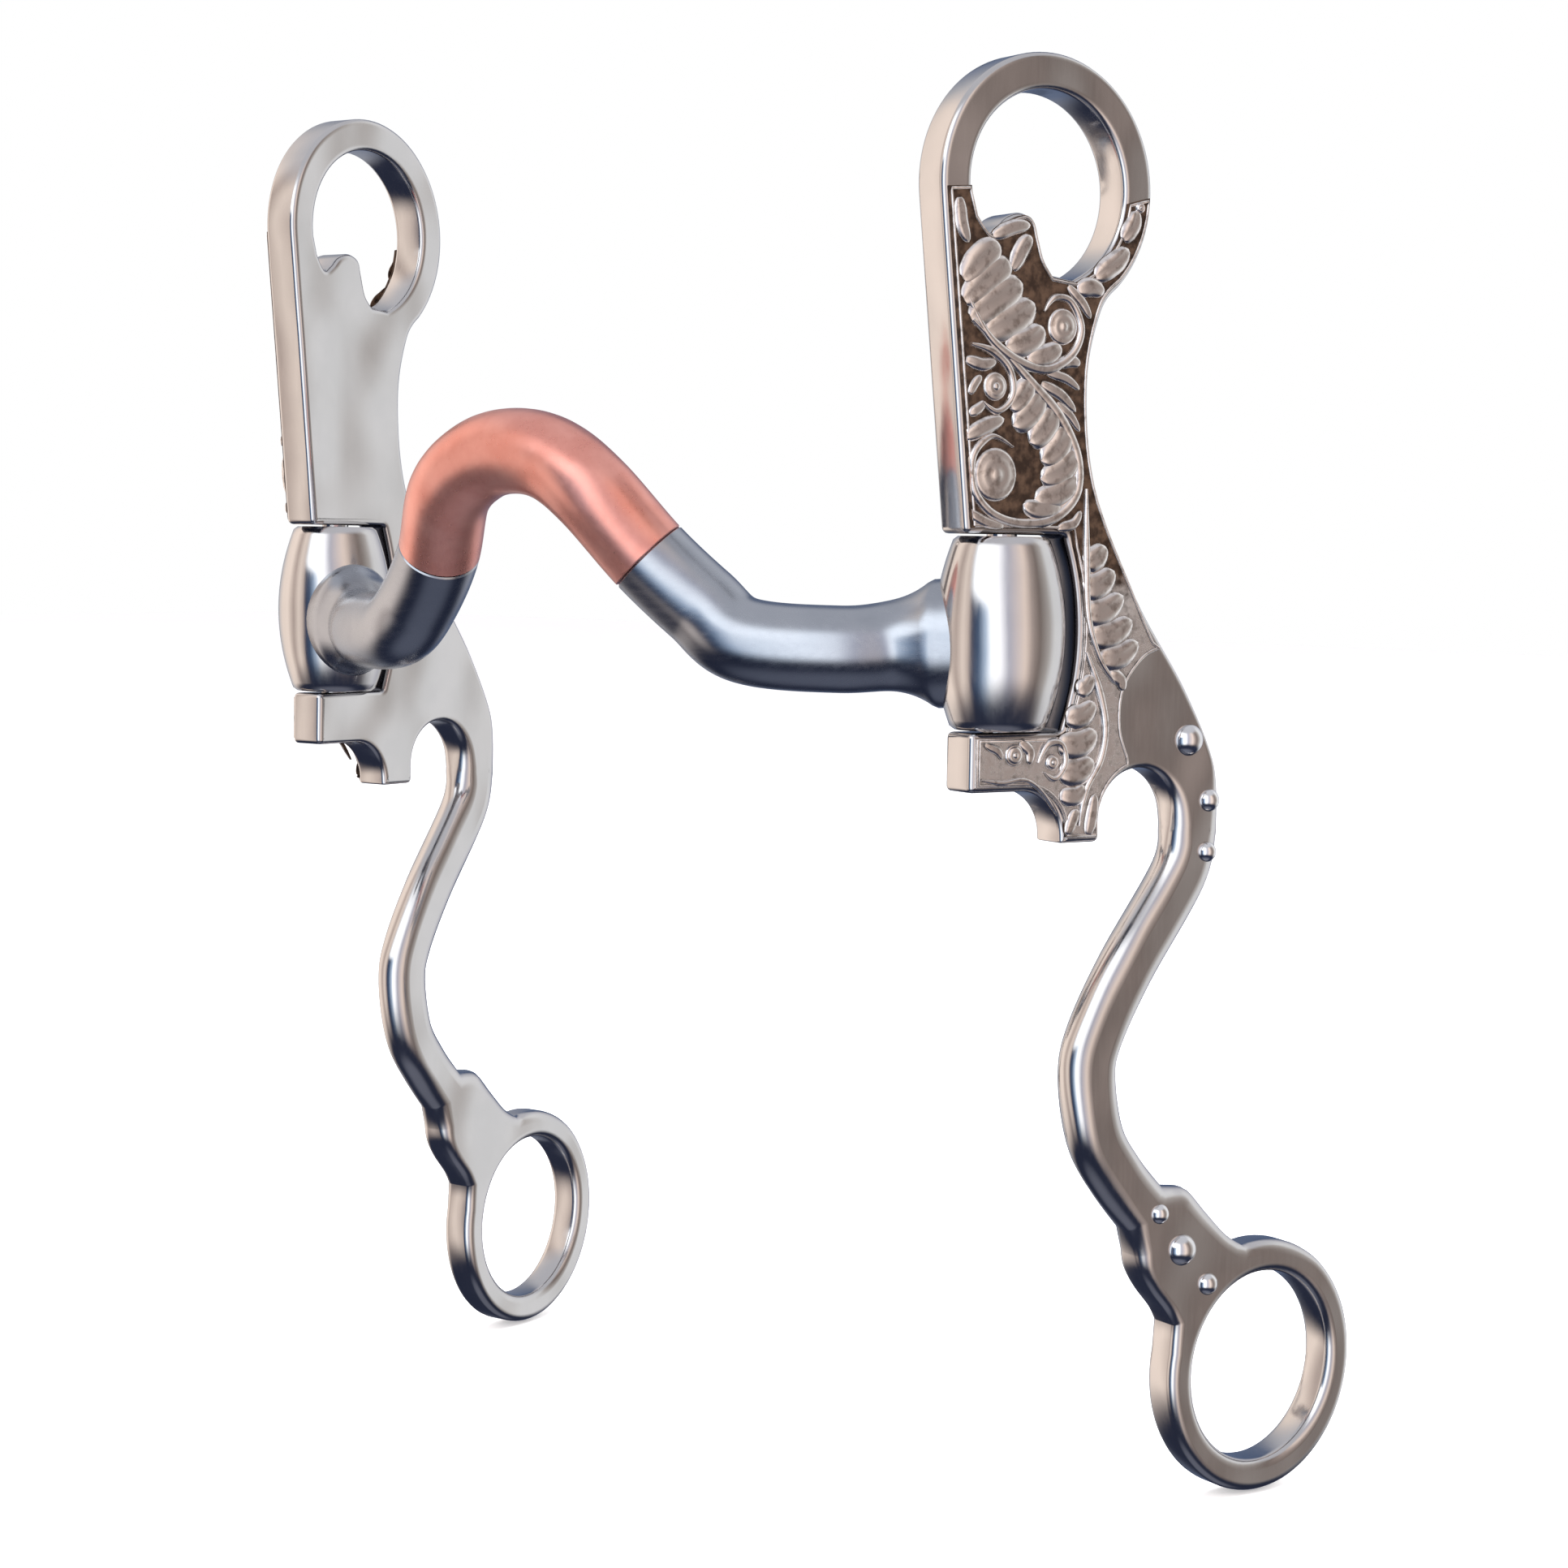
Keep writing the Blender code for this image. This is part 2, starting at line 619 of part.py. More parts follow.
def closed(profile):
    return [(0, profile[0][1])] + profile + [(0, profile[-1][1])]


def copper_sleeve(parent):
    """The sleeve round the port, flush with the bar, its ends a gap short of the shoulders."""
    route = bar_route()
    first = seam_index(route)
    inside = route[first:len(route) - first]
    step = (inside[1] - inside[0]).normalized() * FIT_GAP
    back = (inside[-1] - inside[-2]).normalized() * FIT_GAP
    body = [inside[0] + step] + inside[1:-1] + [inside[-1] - back]
    made = place(swept("copper_sleeve", body, [BAR_RADIUS] * len(body)), parent, "copper")
    reach = [inside[0] - step * 4] + inside[1:-1] + [inside[-1] + back * 4]
    cut(made, swept("sleeve_bore", reach, [BAR_RADIUS - SLEEVE_WALL] * len(reach)))
    smooth(made)
    return made


def empty(name, x, turn):
    made = bpy.data.objects.new(name, None)
    made.location = (x, 0, 0)
    made.rotation_euler = (0, 0, math.radians(turn))
    PARTS.objects.link(made)
    return made


def build():
    hinge = HINGE_SPACING / 2
    mouth = empty("mouthpiece_frame", 0, 0)
    mouth_bar(mouth)
    copper_sleeve(mouth)
    for word, side, swing in (("left", -1, SWING_LEFT), ("right", 1, SWING_RIGHT)):
        socket = empty(word + "_socket", side * hinge, 0)
        barrel(word + "_hinge_barrel", socket)
        frame = empty(word + "_cheek_frame", side * hinge, swing)
        cheek(word + "_cheek", frame)
        overlay(word + "_overlay_panel", frame, side)
        pin = place(pin_solid(word + "_hinge_pin", 0.0), frame, "satin_steel")
        smooth(pin)
        for stud_name, where, radius in stud_places():
            stud(word + "_" + stud_name, frame, side, where, radius)


build()
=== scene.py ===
# %% [markdown]
# # A loose-jaw curb bit
# The bit is two curved cheeks that swing on a ported mouthpiece. The measured frame is loaded first,
# so every piece made here lands where the solid model says, and rides on the same moving bodies.

# %% Load the frame
import math

import bmesh
import bpy
from mathutils import Matrix, Vector


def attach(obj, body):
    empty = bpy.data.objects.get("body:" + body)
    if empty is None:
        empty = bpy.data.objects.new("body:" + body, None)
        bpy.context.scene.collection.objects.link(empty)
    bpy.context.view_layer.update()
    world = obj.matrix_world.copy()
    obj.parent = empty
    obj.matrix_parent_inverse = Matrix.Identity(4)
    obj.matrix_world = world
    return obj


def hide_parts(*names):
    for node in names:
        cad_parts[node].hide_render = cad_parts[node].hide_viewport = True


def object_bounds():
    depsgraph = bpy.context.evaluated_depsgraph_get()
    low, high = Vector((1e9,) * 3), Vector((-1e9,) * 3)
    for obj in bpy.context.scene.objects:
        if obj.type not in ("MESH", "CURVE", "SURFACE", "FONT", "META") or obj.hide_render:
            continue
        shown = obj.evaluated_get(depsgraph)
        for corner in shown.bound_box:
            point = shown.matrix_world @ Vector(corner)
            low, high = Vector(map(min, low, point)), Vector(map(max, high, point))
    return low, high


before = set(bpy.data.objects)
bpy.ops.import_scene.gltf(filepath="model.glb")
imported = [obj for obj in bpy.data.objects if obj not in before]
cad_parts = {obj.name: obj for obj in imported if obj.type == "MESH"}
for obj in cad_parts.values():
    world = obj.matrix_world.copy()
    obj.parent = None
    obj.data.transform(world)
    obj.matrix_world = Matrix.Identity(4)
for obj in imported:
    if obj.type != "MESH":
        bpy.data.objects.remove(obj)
cad_box = [list(corner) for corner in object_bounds()]
MM = 0.001

# %% [markdown]
# ## The camera
# A long lens a little in front of the right cheek, just above the bar, with a slight roll. A long lens
# keeps the two cheeks nearly the same size, as on a product table.

# %% Camera
CAMERA_TURN, CAMERA_RISE, CAMERA_ROLL = math.radians(36.46), math.radians(4.53), math.radians(1.0)
CAMERA_PLACE = (0.3006, -0.3678, 0.0115)
SENSOR_MM, LENS_MM = 36, 69.17


def add_camera():
    look = Vector((-math.sin(CAMERA_TURN) * math.cos(CAMERA_RISE),
                   math.cos(CAMERA_TURN) * math.cos(CAMERA_RISE), -math.sin(CAMERA_RISE)))
    flat_right = Vector((math.cos(CAMERA_TURN), math.sin(CAMERA_TURN), 0))
    flat_up = flat_right.cross(look)
    right = flat_right * math.cos(CAMERA_ROLL) + flat_up * math.sin(CAMERA_ROLL)
    up = flat_up * math.cos(CAMERA_ROLL) - flat_right * math.sin(CAMERA_ROLL)
    lens = bpy.data.cameras.new("studio_camera")
    lens.sensor_width = SENSOR_MM
    lens.lens = LENS_MM
    lens.clip_start = 0.01
    made = bpy.data.objects.new("studio_camera", lens)
    turn = Matrix((right, up, -look)).transposed()
    made.matrix_world = Matrix.Translation(CAMERA_PLACE) @ turn.to_4x4()
    bpy.context.scene.collection.objects.link(made)
    bpy.context.scene.camera = made
    return made


camera = add_camera()
print("camera at", tuple(round(v, 3) for v in camera.matrix_world.translation))

# %% [markdown]
# ## Shader maths in Python
# Metal finishes are worked out from position with long chains of small sums. A class that wraps a
# socket lets a chain be written as one expression, and adds the nodes for it.

# %% A socket that does sums
class Value:
    def __init__(self, nodes, socket):
        self.nodes, self.socket = nodes, socket

    def sum(self, operation, other, swap=False):
        pair = (other, self) if swap else (self, other)
        return self.nodes.add("ShaderNodeMath", {"operation": operation}, dict(enumerate(pair)))

    def __add__(self, other):
        return self.sum("ADD", other)

    def __radd__(self, other):
        return self.sum("ADD", other, True)

    def __sub__(self, other):
        return self.sum("SUBTRACT", other)

    def __rsub__(self, other):
        return self.sum("SUBTRACT", other, True)

    def __mul__(self, other):
        return self.sum("MULTIPLY", other)

    def __rmul__(self, other):
        return self.sum("MULTIPLY", other, True)

    def __truediv__(self, other):
        return self.sum("DIVIDE", other)


class Nodes:
    """Adds nodes to one material or world."""

    def __init__(self, tree):
        self.tree = tree

    def add(self, kind, settings=None, inputs=None, output=0):
        node = self.tree.nodes.new(kind)
        for name, value in (settings or {}).items():
            if name == "stops":
                self.stops(node.color_ramp, value)
            else:
                setattr(node, name, value)
        for name, value in (inputs or {}).items():
            self.feed(node.inputs[name], value)
        return Value(self, node.outputs[output]) if node.outputs else node

    def feed(self, socket, value):
        if isinstance(value, Value):
            self.tree.links.new(value.socket, socket)
        elif isinstance(value, tuple) and len(value) == 3 and len(socket.default_value) == 4:
            socket.default_value = (*value, 1)
        else:
            socket.default_value = value

    def stops(self, ramp, stops):
        while len(ramp.elements) < len(stops):
            ramp.elements.new(0.5)
        for element, (place, colour) in zip(ramp.elements, stops):
            element.position = place
            element.color = (*colour, 1)

    def blend(self, first, second, share):
        return self.add("ShaderNodeMix", {"data_type": "RGBA"}, {0: share, 6: first, 7: second}, 2)

    def noise(self, place, scale, detail=3.0, stretch=(1, 1, 1)):
        turned = self.add("ShaderNodeMapping", None, {"Vector": place, "Scale": stretch})
        return self.add("ShaderNodeTexNoise", None, {"Vector": turned, "Scale": scale, "Detail": detail})

    def step(self, value, low, high):
        """0 below low, 1 above high, smooth between."""
        return self.add("ShaderNodeMapRange", {"interpolation_type": "SMOOTHSTEP"},
                        {"Value": value, "From Min": low, "From Max": high})


print("socket sums:", [name for name in vars(Value) if name.startswith("__")][2:])

# %% [markdown]
# ## The finishes
# One maker builds every metal: a base colour with broad cloudy change, a fine grain that roughens it,
# and a bump of hairline scratches. Flat faces that were filed by hand also get a slow wave. Each finish
# is then a few numbers.

# %% Metal maker
HAIR_DEPTH = 0.00002          # of the hairline scratches


def metal(name, light, dark, roughness, grain=(1, 1, 1), cloud=90, spread=0.35, scratch=0.10, filed=0.0):
    made = bpy.data.materials.new(name)
    made.use_nodes = True
    nodes = Nodes(made.node_tree)
    shader = made.node_tree.nodes["Principled BSDF"]
    place = nodes.add("ShaderNodeTexCoord", output=3)
    broad = nodes.noise(place, cloud, 4)
    fine = nodes.noise(place, 1500, 3, grain)
    hair = nodes.noise(place, 5200, 2, grain)
    mask = nodes.step(broad, 0.5 - spread / 2, 0.5 + spread / 2)
    nodes.feed(shader.inputs["Base Color"], nodes.blend(dark, light, mask * 0.7 + fine * 0.3))
    nodes.feed(shader.inputs["Roughness"], roughness + (fine - 0.5) * 0.16 + (broad - 0.5) * 0.10)
    bump = nodes.add("ShaderNodeBump", None, {"Strength": scratch, "Distance": HAIR_DEPTH,
                                          "Height": hair})
    if filed:
        waves = nodes.add("ShaderNodeBump", None, {"Strength": 1.0, "Distance": filed,
                                                   "Height": nodes.noise(place, 75, 0)})
        nodes.feed(bump.socket.node.inputs["Normal"], waves)
    nodes.feed(shader.inputs["Normal"], bump)
    shader.inputs["Metallic"].default_value = 1.0
    return made, nodes, shader, place


satin_steel, nodes, shader, _ = metal("satin_steel", (0.67, 0.66, 0.665), (0.60, 0.595, 0.60), 0.155,
                                      (1, 1, 0.12), filed=0.0012)
polished_steel = metal("polished_steel", (0.84, 0.84, 0.85), (0.74, 0.74, 0.76), 0.12, scratch=0.04)[0]
bar_steel = metal("bar_steel", (0.47, 0.50, 0.55), (0.38, 0.41, 0.46), 0.25, (0.15, 1, 1))[0]
copper, _, copper_shader, _ = metal("copper", (0.83, 0.41, 0.35), (0.67, 0.27, 0.22), 0.31, cloud=160,
                                    spread=0.5)
copper_shader.inputs["Metallic"].default_value = 0.90

# Painted shade: the notch's rear wall, dark behind the barrel, is painted dark navy in place of the shade and
# dark reflection it shows; a value on each point, 1 on that wall
hollow = nodes.add("ShaderNodeAttribute", {"attribute_name": "hollow"}, output=2)
plain = Value(nodes, shader.inputs["Base Color"].links[0].from_socket)
nodes.feed(shader.inputs["Base Color"], nodes.blend(plain, (0.045, 0.050, 0.075), hollow * 0.85))
print("finishes:", [m.name for m in (satin_steel, polished_steel, bar_steel, copper)])

# %% [markdown]
# ## Antiqued silver
# On the overlays the raised scrolls are rubbed bright and the ground between them is left dark. A
# value kept on each point, 0 at the foot of a scroll and 1 on its crown, drives the change, so the
# dark always lies in the low places.

# %% Antiqued silver
def antiqued():
    made, nodes, shader, place = metal("engraved_silver", (0.80, 0.77, 0.74), (0.62, 0.57, 0.53), 0.24)
    crown = nodes.add("ShaderNodeAttribute", {"attribute_name": "crown"}, output=2)
    specks = nodes.noise(place, 700, 4)
    rubbed = nodes.step(crown + (specks - 0.5) * 0.30, 0.08, 0.50)
    silver = nodes.blend((0.54, 0.50, 0.48), (0.88, 0.85, 0.84), nodes.step(specks, 0.28, 0.52))
    patina = nodes.blend((0.030, 0.016, 0.010), (0.105, 0.062, 0.040), nodes.step(specks, 0.35, 0.7))
    nodes.feed(shader.inputs["Base Color"], nodes.blend(patina, silver, rubbed))
    nodes.feed(shader.inputs["Roughness"], 0.55 - rubbed * 0.33 + (specks - 0.5) * 0.1)
    nodes.feed(shader.inputs["Metallic"], 0.55 + rubbed * 0.45)
    return made


engraved_silver = antiqued()
FINISHES = {"satin_steel": satin_steel, "polished_steel": polished_steel, "bar_steel": bar_steel,
            "copper": copper, "engraved_silver": engraved_silver}
print("finishes by slot:", sorted(FINISHES))

# %% [markdown]
# ## Finishing a piece
# Every piece is built as a bmesh where it belongs on the bit, so its object can stay at the origin.
# One helper turns the mesh into an object, shades it, ties it to its body, and hides the CAD node it stands
# for.

# %% Finish and place
COLLECTION = bpy.data.collections.new("curb_bit_looks")
bpy.context.scene.collection.children.link(COLLECTION)


def finish_piece(work, name, body, slot, stands_for, sharp=35):
    """Make the object of a finished bmesh."""
    bmesh.ops.recalc_face_normals(work, faces=work.faces)
    mesh = bpy.data.meshes.new(name)
    work.to_mesh(mesh)
    work.free()
    made = bpy.data.objects.new(name, mesh)
    COLLECTION.objects.link(made)
    mesh.shade_smooth()
    mesh.set_sharp_from_angle(angle=math.radians(sharp))
    mesh.materials.append(FINISHES[slot])
    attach(made, body)
    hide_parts(*stands_for)
    return made


print("pieces go in", COLLECTION.name)

# %% [markdown]
# ## Sizes
# All in metres. The cheek is drawn in its own plane, from its hinge axis: y to the rear, z up.

# %% Sizes
HINGE = 0.067
THICK = 0.00635
WELD = 0.000002               # points nearer than this are one point
SWING = {"left": math.radians(3.0), "right": math.radians(-20.5)}
SIDE = {"left": -1, "right": 1}
GAP = 0.0003
BRIDLE_Y, BRIDLE_Z, BRIDLE_OUTER, BRIDLE_HOLE = 0.0048, 0.0631, 0.0189, 0.0137
HOOK_RISE, HOOK_VALLEY, HOOK_REAR = 0.0097, 0.0066, 0.0018
BARREL_HEIGHT, BARREL_MIDDLE, BARREL_END, BARREL_MID = 0.0278, -0.0006, 0.0068, 0.0095
WALL_CLEARANCE, FRONT_Y, LUG_FRONT_Y = 0.0024, -0.0087, -0.0070
LUG_HEIGHT, NECK_Y, PRONG_WIDTH, PRONG_DROP, PRONG_COVE = 0.0086, 0.0128, 0.0072, 0.0078, 0.0072
SLOT_RADIUS, SLOT_Y, SLOT_Z = 0.0075, 0.0244, -0.0280
SHANK_WIDTH, FORWARD_Y, FORWARD_Z, FOOT_Y, FOOT_Z = 0.0090, 0.0181, -0.0668, 0.0231, 0.0270
SHANK_ROUND, PLATE_ROUND = 0.0029, 0.0009
REIN_Y, REIN_Z, REIN_OUTER, REIN_HOLE, REIN_STRETCH = 0.0522, -0.1146, 0.0185, 0.0139, 1.07
NOTCH_TOP = BARREL_MIDDLE + BARREL_HEIGHT / 2 + GAP
NOTCH_BOTTOM = BARREL_MIDDLE - BARREL_HEIGHT / 2 - GAP
LUG_BOTTOM = NOTCH_BOTTOM - LUG_HEIGHT
PRONG_BOTTOM = LUG_BOTTOM - PRONG_DROP
PRONG_REAR = SLOT_Y - SLOT_RADIUS
HIP = SLOT_Y + SLOT_RADIUS + SHANK_WIDTH
print("cheek from", round((REIN_Z - REIN_OUTER * REIN_STRETCH) / MM, 1), "to",
      round((BRIDLE_Z + BRIDLE_OUTER) / MM, 1), "mm")

# %% [markdown]
# ## The outline of a cheek
# The real cheek is cut from quarter inch plate and filed round. Its outline is made of circles where
# the smith would use a ring, and of smooth curves through a few guide points between them.

# %% Curves
def arc(centre, radius, start, end, steps, stretch=1.0):
    """Points on a circle from one angle to another, in degrees."""
    angles = [math.radians(start + (end - start) * i / steps) for i in range(steps + 1)]
    return [(centre[0] + radius * math.cos(a), centre[1] + radius * stretch * math.sin(a)) for a in angles]


def flow(guides, steps):
    """A smooth curve through guide points, without its last point."""
    ends = [guides[0], *guides, guides[-1]]
    points = []
    for a, b, c, d in zip(ends, ends[1:], ends[2:], ends[3:]):
        for i in range(steps):
            t = i / steps
            points.append(tuple(0.5 * (2 * q + (r - p) * t + (2 * p - 5 * q + 4 * r - s) * t * t
                                       + (3 * q - p - 3 * r + s) * t ** 3) for p, q, r, s in zip(a, b, c, d)))
    return points


def barrel_radius(z):
    """Radius of the bulged barrel at a height above its middle."""
    return BARREL_END + (BARREL_MID - BARREL_END) * (1 - (z / (BARREL_HEIGHT / 2)) ** 2)


print("a quarter circle in 4 steps:", len(arc((0, 0), 1, 0, 90, 4)), "points")

# %% Shank and neck
def shank_edges():
    """Rear and front edges of the shank, each from the top down."""
    top = Vector((SLOT_Y + SLOT_RADIUS + SHANK_WIDTH / 2, SLOT_Z - 0.002))
    forward = Vector((FORWARD_Y, FORWARD_Z))
    foot = Vector((REIN_Y - FOOT_Y, REIN_Z + FOOT_Z))
    drive, fall = forward - top, foot - forward
    line = [top]
    line += [top + Vector((drive.x * a, drive.y * b)) for a, b in ((0.09, 0.19), (0.62, 0.56), (0.93, 0.83))]
    line += [forward]
    line += [forward + Vector((fall.x * a, fall.y * b)) for a, b in ((0.17, 0.44), (0.56, 0.75))]
    middle = [Vector(p) for p in flow(line + [foot], 10)] + [foot]
    rear, front = [], []
    for i, here in enumerate(middle):
        along = (middle[min(i + 1, len(middle) - 1)] - middle[max(i - 1, 0)]).normalized()
        out = Vector((-along.y, along.x)) * SHANK_WIDTH / 2
        rear.append(tuple(here + out))
        front.append(tuple(here - out))
    return rear, front


def neck_guides(inset=0.0):
    """Guide points of the rear edge from the bridle ring down to beside the curb slot."""
    foot = arc((BRIDLE_Y, BRIDLE_Z), BRIDLE_OUTER - inset, -44, -44, 1)[0]
    return [foot, (NECK_Y + 0.0022 - inset, foot[1] - 0.0040), (NECK_Y - inset, BRIDLE_Z - 0.0275),
            (NECK_Y + 0.0020 - inset, NOTCH_TOP + 0.0070), (NECK_Y + 0.0102 - inset, NOTCH_TOP - 0.0090),
            (HIP - 0.0080 - inset, SLOT_Z + 0.0190), (HIP - 0.0018 - inset, SLOT_Z + 0.0075)]


def front_tangent():
    """Angle on the bridle ring where the straight front edge meets it."""
    dy, dz = BRIDLE_Y - FRONT_Y, BRIDLE_Z - NOTCH_TOP
    return math.degrees(math.atan2(dz, dy) + math.asin(BRIDLE_OUTER / math.hypot(dy, dz))) + 90


def notch_wall(steps):
    """Rear wall of the notch, from the bottom up, following the bulge of the barrel."""
    heights = [NOTCH_BOTTOM + (NOTCH_TOP - NOTCH_BOTTOM) * i / steps for i in range(steps + 1)]
    levels = [min(abs(z - BARREL_MIDDLE), BARREL_HEIGHT / 2) for z in heights]
    return [(barrel_radius(level) + WALL_CLEARANCE, z) for level, z in zip(levels, heights)]


print("shank edge points:", len(shank_edges()[0]), "front tangent:", round(front_tangent(), 1))

# %% Soft corners
def soften(points, radius=0.0009, steps=4):
    """Swap each hard corner of a closed outline for a short curve."""
    soft = []
    for i, point in enumerate(points):
        here, before, after = Vector(point), Vector(points[i - 1]), Vector(points[(i + 1) % len(points)])
        if (here - before).angle(after - here) < math.radians(50):
            soft.append(point)
            continue
        start = here + (before - here).normalized() * min(radius, (before - here).length * 0.45)
        end = here + (after - here).normalized() * min(radius, (after - here).length * 0.45)
        for t in [k / steps for k in range(steps + 1)]:
            soft.append(tuple(start * (1 - t) ** 2 + here * 2 * t * (1 - t) + end * t ** 2))
    return soft


print("a square's corners become", len(soften([(0, 0), (1, 0), (1, 1), (0, 1)])), "points")

# %% Whole outline and its holes
def cheek_outline():
    rein = Vector((REIN_Y, REIN_Z))
    rear_edge, front_edge = shank_edges()
    points = [(FRONT_Y, NOTCH_TOP)]
    points += arc((BRIDLE_Y, BRIDLE_Z), BRIDLE_OUTER, front_tangent(), -44, 66)[:-1]
    points += flow(neck_guides() + [rear_edge[0]], 10)
    points += rear_edge
    points += flow([rein + Vector(p) for p in ((-0.0180, 0.0299), (-0.0148, 0.0291), (-0.0110, 0.0252),
                                               (-0.0075, 0.0217), (-0.0050, 0.0200))], 6)
    points += arc(rein, REIN_OUTER, 102, -192, 84, REIN_STRETCH)
    points += flow([rein + Vector(p) for p in ((-0.0178, 0.0085), (-0.0192, 0.0108), (-0.0222, 0.0142),
                                               (-0.0244, 0.0176), (-0.0252, 0.0205))], 7)
    points += front_edge[::-1]
    points += arc((SLOT_Y, SLOT_Z), SLOT_RADIUS, 0, 180, 30)
    points += [(PRONG_REAR, PRONG_BOTTOM), (PRONG_REAR - PRONG_WIDTH, PRONG_BOTTOM)]
    points += arc((PRONG_REAR - PRONG_WIDTH - PRONG_COVE, LUG_BOTTOM - PRONG_COVE), PRONG_COVE, 0, 90, 16)
    points += [(LUG_FRONT_Y, LUG_BOTTOM), (LUG_FRONT_Y, NOTCH_BOTTOM)]
    return soften(points + notch_wall(24))


def bridle_hole(grow=0.0, turns=60):
    """The ring's hole with the strap hook standing up in its lower front."""
    base = BRIDLE_Z - BRIDLE_HOLE
    valley_y = BRIDLE_Y + 0.0008 - math.sqrt(BRIDLE_HOLE ** 2 - (BRIDLE_HOLE - HOOK_VALLEY) ** 2) + grow
    valley_z = base + HOOK_VALLEY - grow
    top, rear = base + HOOK_RISE - grow, BRIDLE_Y - HOOK_REAR - grow
    points = arc((BRIDLE_Y, BRIDLE_Z), BRIDLE_HOLE + grow, -70, 187, turns)
    return points + flow([(valley_y - 0.0018 - 1.5 * grow, valley_z + 0.0024), (valley_y, valley_z),
                          (valley_y + 0.0018, valley_z + 0.0008), (valley_y + 0.0036, top - 0.0007),
                          (valley_y + 0.0060, top), (rear - 0.0008, top - 0.0009), (rear, top - 0.0032),
                          (rear + 0.0011, base + 0.0031), (rear + 0.0030, base + 0.0011 - grow)], 8)


print("outline points:", len(cheek_outline()), "hole points:", len(bridle_hole()))

# %% [markdown]
# ## Lofting a plate
# A real cheek is filed: its edges are softened all round and the shank is nearly round. A bevel gives
# one width all along an edge, so here the outline is extruded through the thickness in thin steps, and
# each step is drawn in by an amount that depends on where it is. That lets the round grow on the shank.

# %% Loft
BORDER = 0.0002               # flat strip inside each rounded edge, which keeps the face's shading flat


def inward(loop, is_hole):
    """For each point of a closed outline, the step that moves its wall one unit into the metal."""
    points = [Vector(p) for p in loop]
    area = sum(p.x * q.y - q.x * p.y for p, q in zip(points, points[1:] + points[:1]))
    side = 1 if (area > 0) != is_hole else -1
    steps = []
    for i, here in enumerate(points):
        before = (here - points[i - 1]).normalized()
        after = (points[(i + 1) % len(points)] - here).normalized()
        first = Vector((-before.y, before.x)) * side
        middle = (first + Vector((-after.y, after.x)) * side).normalized()
        steps.append(middle / max(middle.dot(first), 0.6))
    return steps


def extrude_ring(work, ring):
    """Extrude a ring of edges in place and give back the new ring."""
    grown = bmesh.ops.extrude_edge_only(work, edges=ring)["geom"]
    fresh = {v for v in grown if isinstance(v, bmesh.types.BMVert)}
    return [e for e in grown if isinstance(e, bmesh.types.BMEdge) and all(v in fresh for v in e.verts)], fresh


def loft_plate(outlines, low, high, round_of, segments=5):
    """A plate from low to high in x through its outlines, the first solid and the others holes."""
    work = bmesh.new()
    station = work.verts.layers.int.new("station")
    places, steps = [], []
    for number, outline in enumerate(outlines):
        verts = []
        for (y, z), step in zip(outline, inward(outline, number > 0)):
            vert = work.verts.new((low, y, z))
            vert[station] = len(places)
            places.append((y, z))
            steps.append(step)
            verts.append(vert)
        for one, two in zip(verts, verts[1:] + verts[:1]):
            work.edges.new((one, two))
    angles = [math.pi / 2 * i / segments for i in range(segments + 1)]
    sections = [(-1, a) for a in angles[::-1]] + [(1, a) for a in angles]
    ring, fresh = list(work.edges), set(work.verts)
    ends = [ring]
    for number, (face, angle) in enumerate(sections):
        if number:
            ring, fresh = extrude_ring(work, ring)
        for vert in fresh:
            y, z = places[vert[station]]
            step = steps[vert[station]]
            radius = round_of(y, z)
            flat = (high if face > 0 else low) - face * radius
            draw = radius * (1 - math.cos(angle))
            vert.co = (flat + face * radius * math.sin(angle), y + step.x * draw, z + step.y * draw)
    for edges, way in ((ends[0], -1), (ring, 1)):
        filled = bmesh.ops.triangle_fill(work, edges=edges, use_beauty=True, normal=(way, 0, 0))["geom"]
        cap = [f for f in filled if isinstance(f, bmesh.types.BMFace)]
        for face in cap:
            face.normal_update()
        bmesh.ops.inset_region(work, faces=cap, thickness=BORDER, use_even_offset=False)
    return work


def hang(work, word):
    """Move a cheek-side piece from its own plane to its place on the bit."""
    bmesh.ops.rotate(work, verts=work.verts, matrix=Matrix.Rotation(SWING[word], 3, "Z"))
    bmesh.ops.translate(work, verts=work.verts, vec=(SIDE[word] * HINGE, 0, 0))


print("inward steps of a square:", [tuple(round(c, 1) for c in s) for s in
                                    inward([(0, 0), (1, 0), (1, 1), (0, 1)], False)])

# %% [markdown]
# ## The cheeks
# Each cheek is one plate with a strap ring above and a rein ring below. The shank's edges are rounded
# most, the rein ring's about half as much, and the plate's edges are only broken.

# %% Cheeks
NEAR_WALL = 0.0003            # how near the notch's rear wall a point counts as on it


def edge_radius(y, z):
    """How far the plate's edge is rounded at a point."""
    low = REIN_Z + REIN_OUTER * REIN_STRETCH
    if not (low - 0.004 < z < SLOT_Z + 0.008 and (y > SLOT_Y or z < PRONG_BOTTOM - 0.004)):
        return SHANK_ROUND * 0.5 if z <= low - 0.004 else PLATE_ROUND
    into_slot = min(max((SLOT_Z + 0.008 - z) / 0.012, 0), 1)
    into_ring = min(max((z - low + 0.004) / 0.012, 0), 1)
    least = PLATE_ROUND / SHANK_ROUND
    return SHANK_ROUND * min(least + (1 - least) * into_slot, 0.5 + 0.5 * into_ring)


